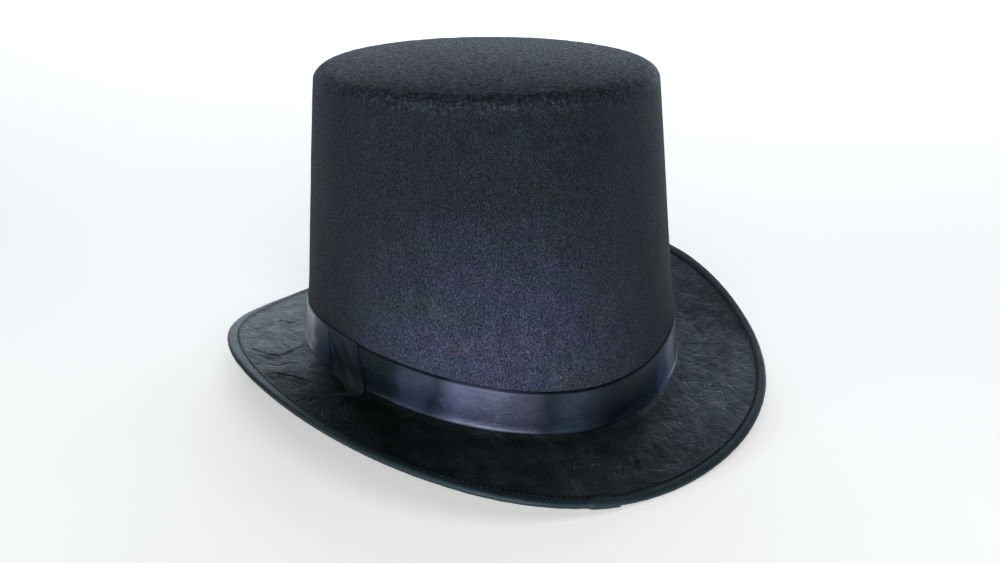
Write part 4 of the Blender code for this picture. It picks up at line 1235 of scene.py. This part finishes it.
# ---------------------------------------------------------------- sheet area


def area_of(obj):
    return sum(p.area for p in obj.data.polygons) / 2


# ---------------------------------------------------------------- stage, lights, camera

scene = bpy.context.scene
scene.view_settings.view_transform = "Standard"
scene.view_settings.look = "None"

floor_mesh = bpy.data.meshes.new("floor")
edge = 6.0
floor_mesh.from_pydata([(-edge, -edge, 0), (edge, -edge, 0), (edge, edge, 0), (-edge, edge, 0)], [], [(0, 1, 2, 3)])
floor = bpy.data.objects.new("floor", floor_mesh)
scene.collection.objects.link(floor)
pale = bpy.data.materials.new("pale_floor")
pale.use_nodes = True
nodes, links = pale.node_tree.nodes, pale.node_tree.links
nodes["Principled BSDF"].inputs["Base Color"].default_value = (0.92, 0.90, 0.87, 1)
nodes["Principled BSDF"].inputs["Roughness"].default_value = 0.9
nodes["Principled BSDF"].inputs["Emission Color"].default_value = (1.0, 0.98, 0.94, 1)
nodes["Principled BSDF"].inputs["Emission Strength"].default_value = 0.38
nodes["Principled BSDF"].inputs["Specular IOR Level"].default_value = 0.1
clear, either, side_of = nodes.new("ShaderNodeBsdfTransparent"), nodes.new("ShaderNodeMixShader"), nodes.new("ShaderNodeNewGeometry")
links.new(side_of.outputs["Backfacing"], either.inputs[0])
links.new(nodes["Principled BSDF"].outputs[0], either.inputs[1])
links.new(clear.outputs[0], either.inputs[2])
links.new(either.outputs[0], nodes["Material Output"].inputs["Surface"])
floor_mesh.materials.append(pale)

world = bpy.data.worlds.new("studio")
scene.world = world
world.use_nodes = True
# A pale backdrop to look at, which adds almost no light of its own
world.node_tree.nodes["Background"].inputs["Color"].default_value = (0.95, 0.97, 1.0, 1)
sees = world.node_tree.nodes.new("ShaderNodeMapRange")
world.node_tree.links.new(world.node_tree.nodes.new("ShaderNodeLightPath").outputs["Is Camera Ray"], sees.inputs[0])
sees.inputs[3].default_value, sees.inputs[4].default_value = 0.02, 0.92
world.node_tree.links.new(sees.outputs[0], world.node_tree.nodes["Background"].inputs["Strength"])


def lamp(name, at, target, size, power, colour=(1, 1, 1)):
    data = bpy.data.lights.new(name, "AREA")
    data.shape, data.size, data.size_y, data.energy, data.color = "RECTANGLE", size[0], size[1], power, colour
    obj = bpy.data.objects.new(name, data)
    obj.location = at
    obj.rotation_mode = "QUATERNION"
    obj.rotation_quaternion = (Vector(target) - Vector(at)).to_track_quat("-Z", "Y")
    obj.visible_camera = False
    scene.collection.objects.link(obj)
    return obj


COOL = (0.76, 0.89, 1.0)
lamp("backdrop", (1.05, 1.40, 0.26), (0, 0, 0.08), (3.0, 0.44), 14.0, COOL)
lamp("back_right", (1.60, 0.35, 0.28), (0, 0, 0.08), (1.2, 0.5), 11.0, (0.70, 0.84, 1.0))
lamp("back_high", (0.75, 1.10, 0.85), (0, 0, 0.1), (1.5, 0.5), 10.0, (0.70, 0.82, 1.0))
lamp("overhead", (-0.36, -0.44, 1.6), (0, 0, 0.05), (1.3, 1.3), 6.5)
lamp("front_low", (-0.74, -0.96, 0.11), (0, 0, 0.045), (0.58, 0.18), 14.0, (0.68, 0.76, 1.0))
lamp("front_mid", (-0.60, -1.15, 0.55), (0, 0, 0.06), (0.9, 0.35), 6.3, (0.92, 0.96, 0.86))
lamp("left_side", (-1.35, 0.10, 0.22), (0, 0, 0.06), (0.7, 0.35), 3.2, (0.75, 1.0, 0.95))

AZ, EL, ROLL, AWAY = math.radians(-36.0845), math.radians(19.6638), math.radians(-1.2611), 0.5323
back = Vector((math.sin(AZ) * math.cos(EL), -math.cos(AZ) * math.cos(EL), math.sin(EL)))
right = Vector((math.cos(AZ), math.sin(AZ), 0))
up = back.cross(right)
right2 = right * math.cos(ROLL) + up * math.sin(ROLL)
up2 = up * math.cos(ROLL) - right * math.sin(ROLL)
camera_data = bpy.data.cameras.new("view")
camera_data.sensor_width, camera_data.lens = 36.0, 36.392
camera_data.shift_x, camera_data.shift_y = 0.013, -0.0695
camera_data.clip_start, camera_data.clip_end = 0.01, 50
camera = bpy.data.objects.new("view", camera_data)
camera.matrix_world = Matrix.Translation(Vector((0, 0, 0.07 + LIFT)) + back * AWAY) @ Matrix(
    (
        (right2.x, up2.x, back.x, 0),
        (right2.y, up2.y, back.y, 0),
        (right2.z, up2.z, back.z, 0),
        (0, 0, 0, 1),
    )
)
scene.collection.objects.link(camera)
scene.camera = camera

bpy.context.view_layer.update()
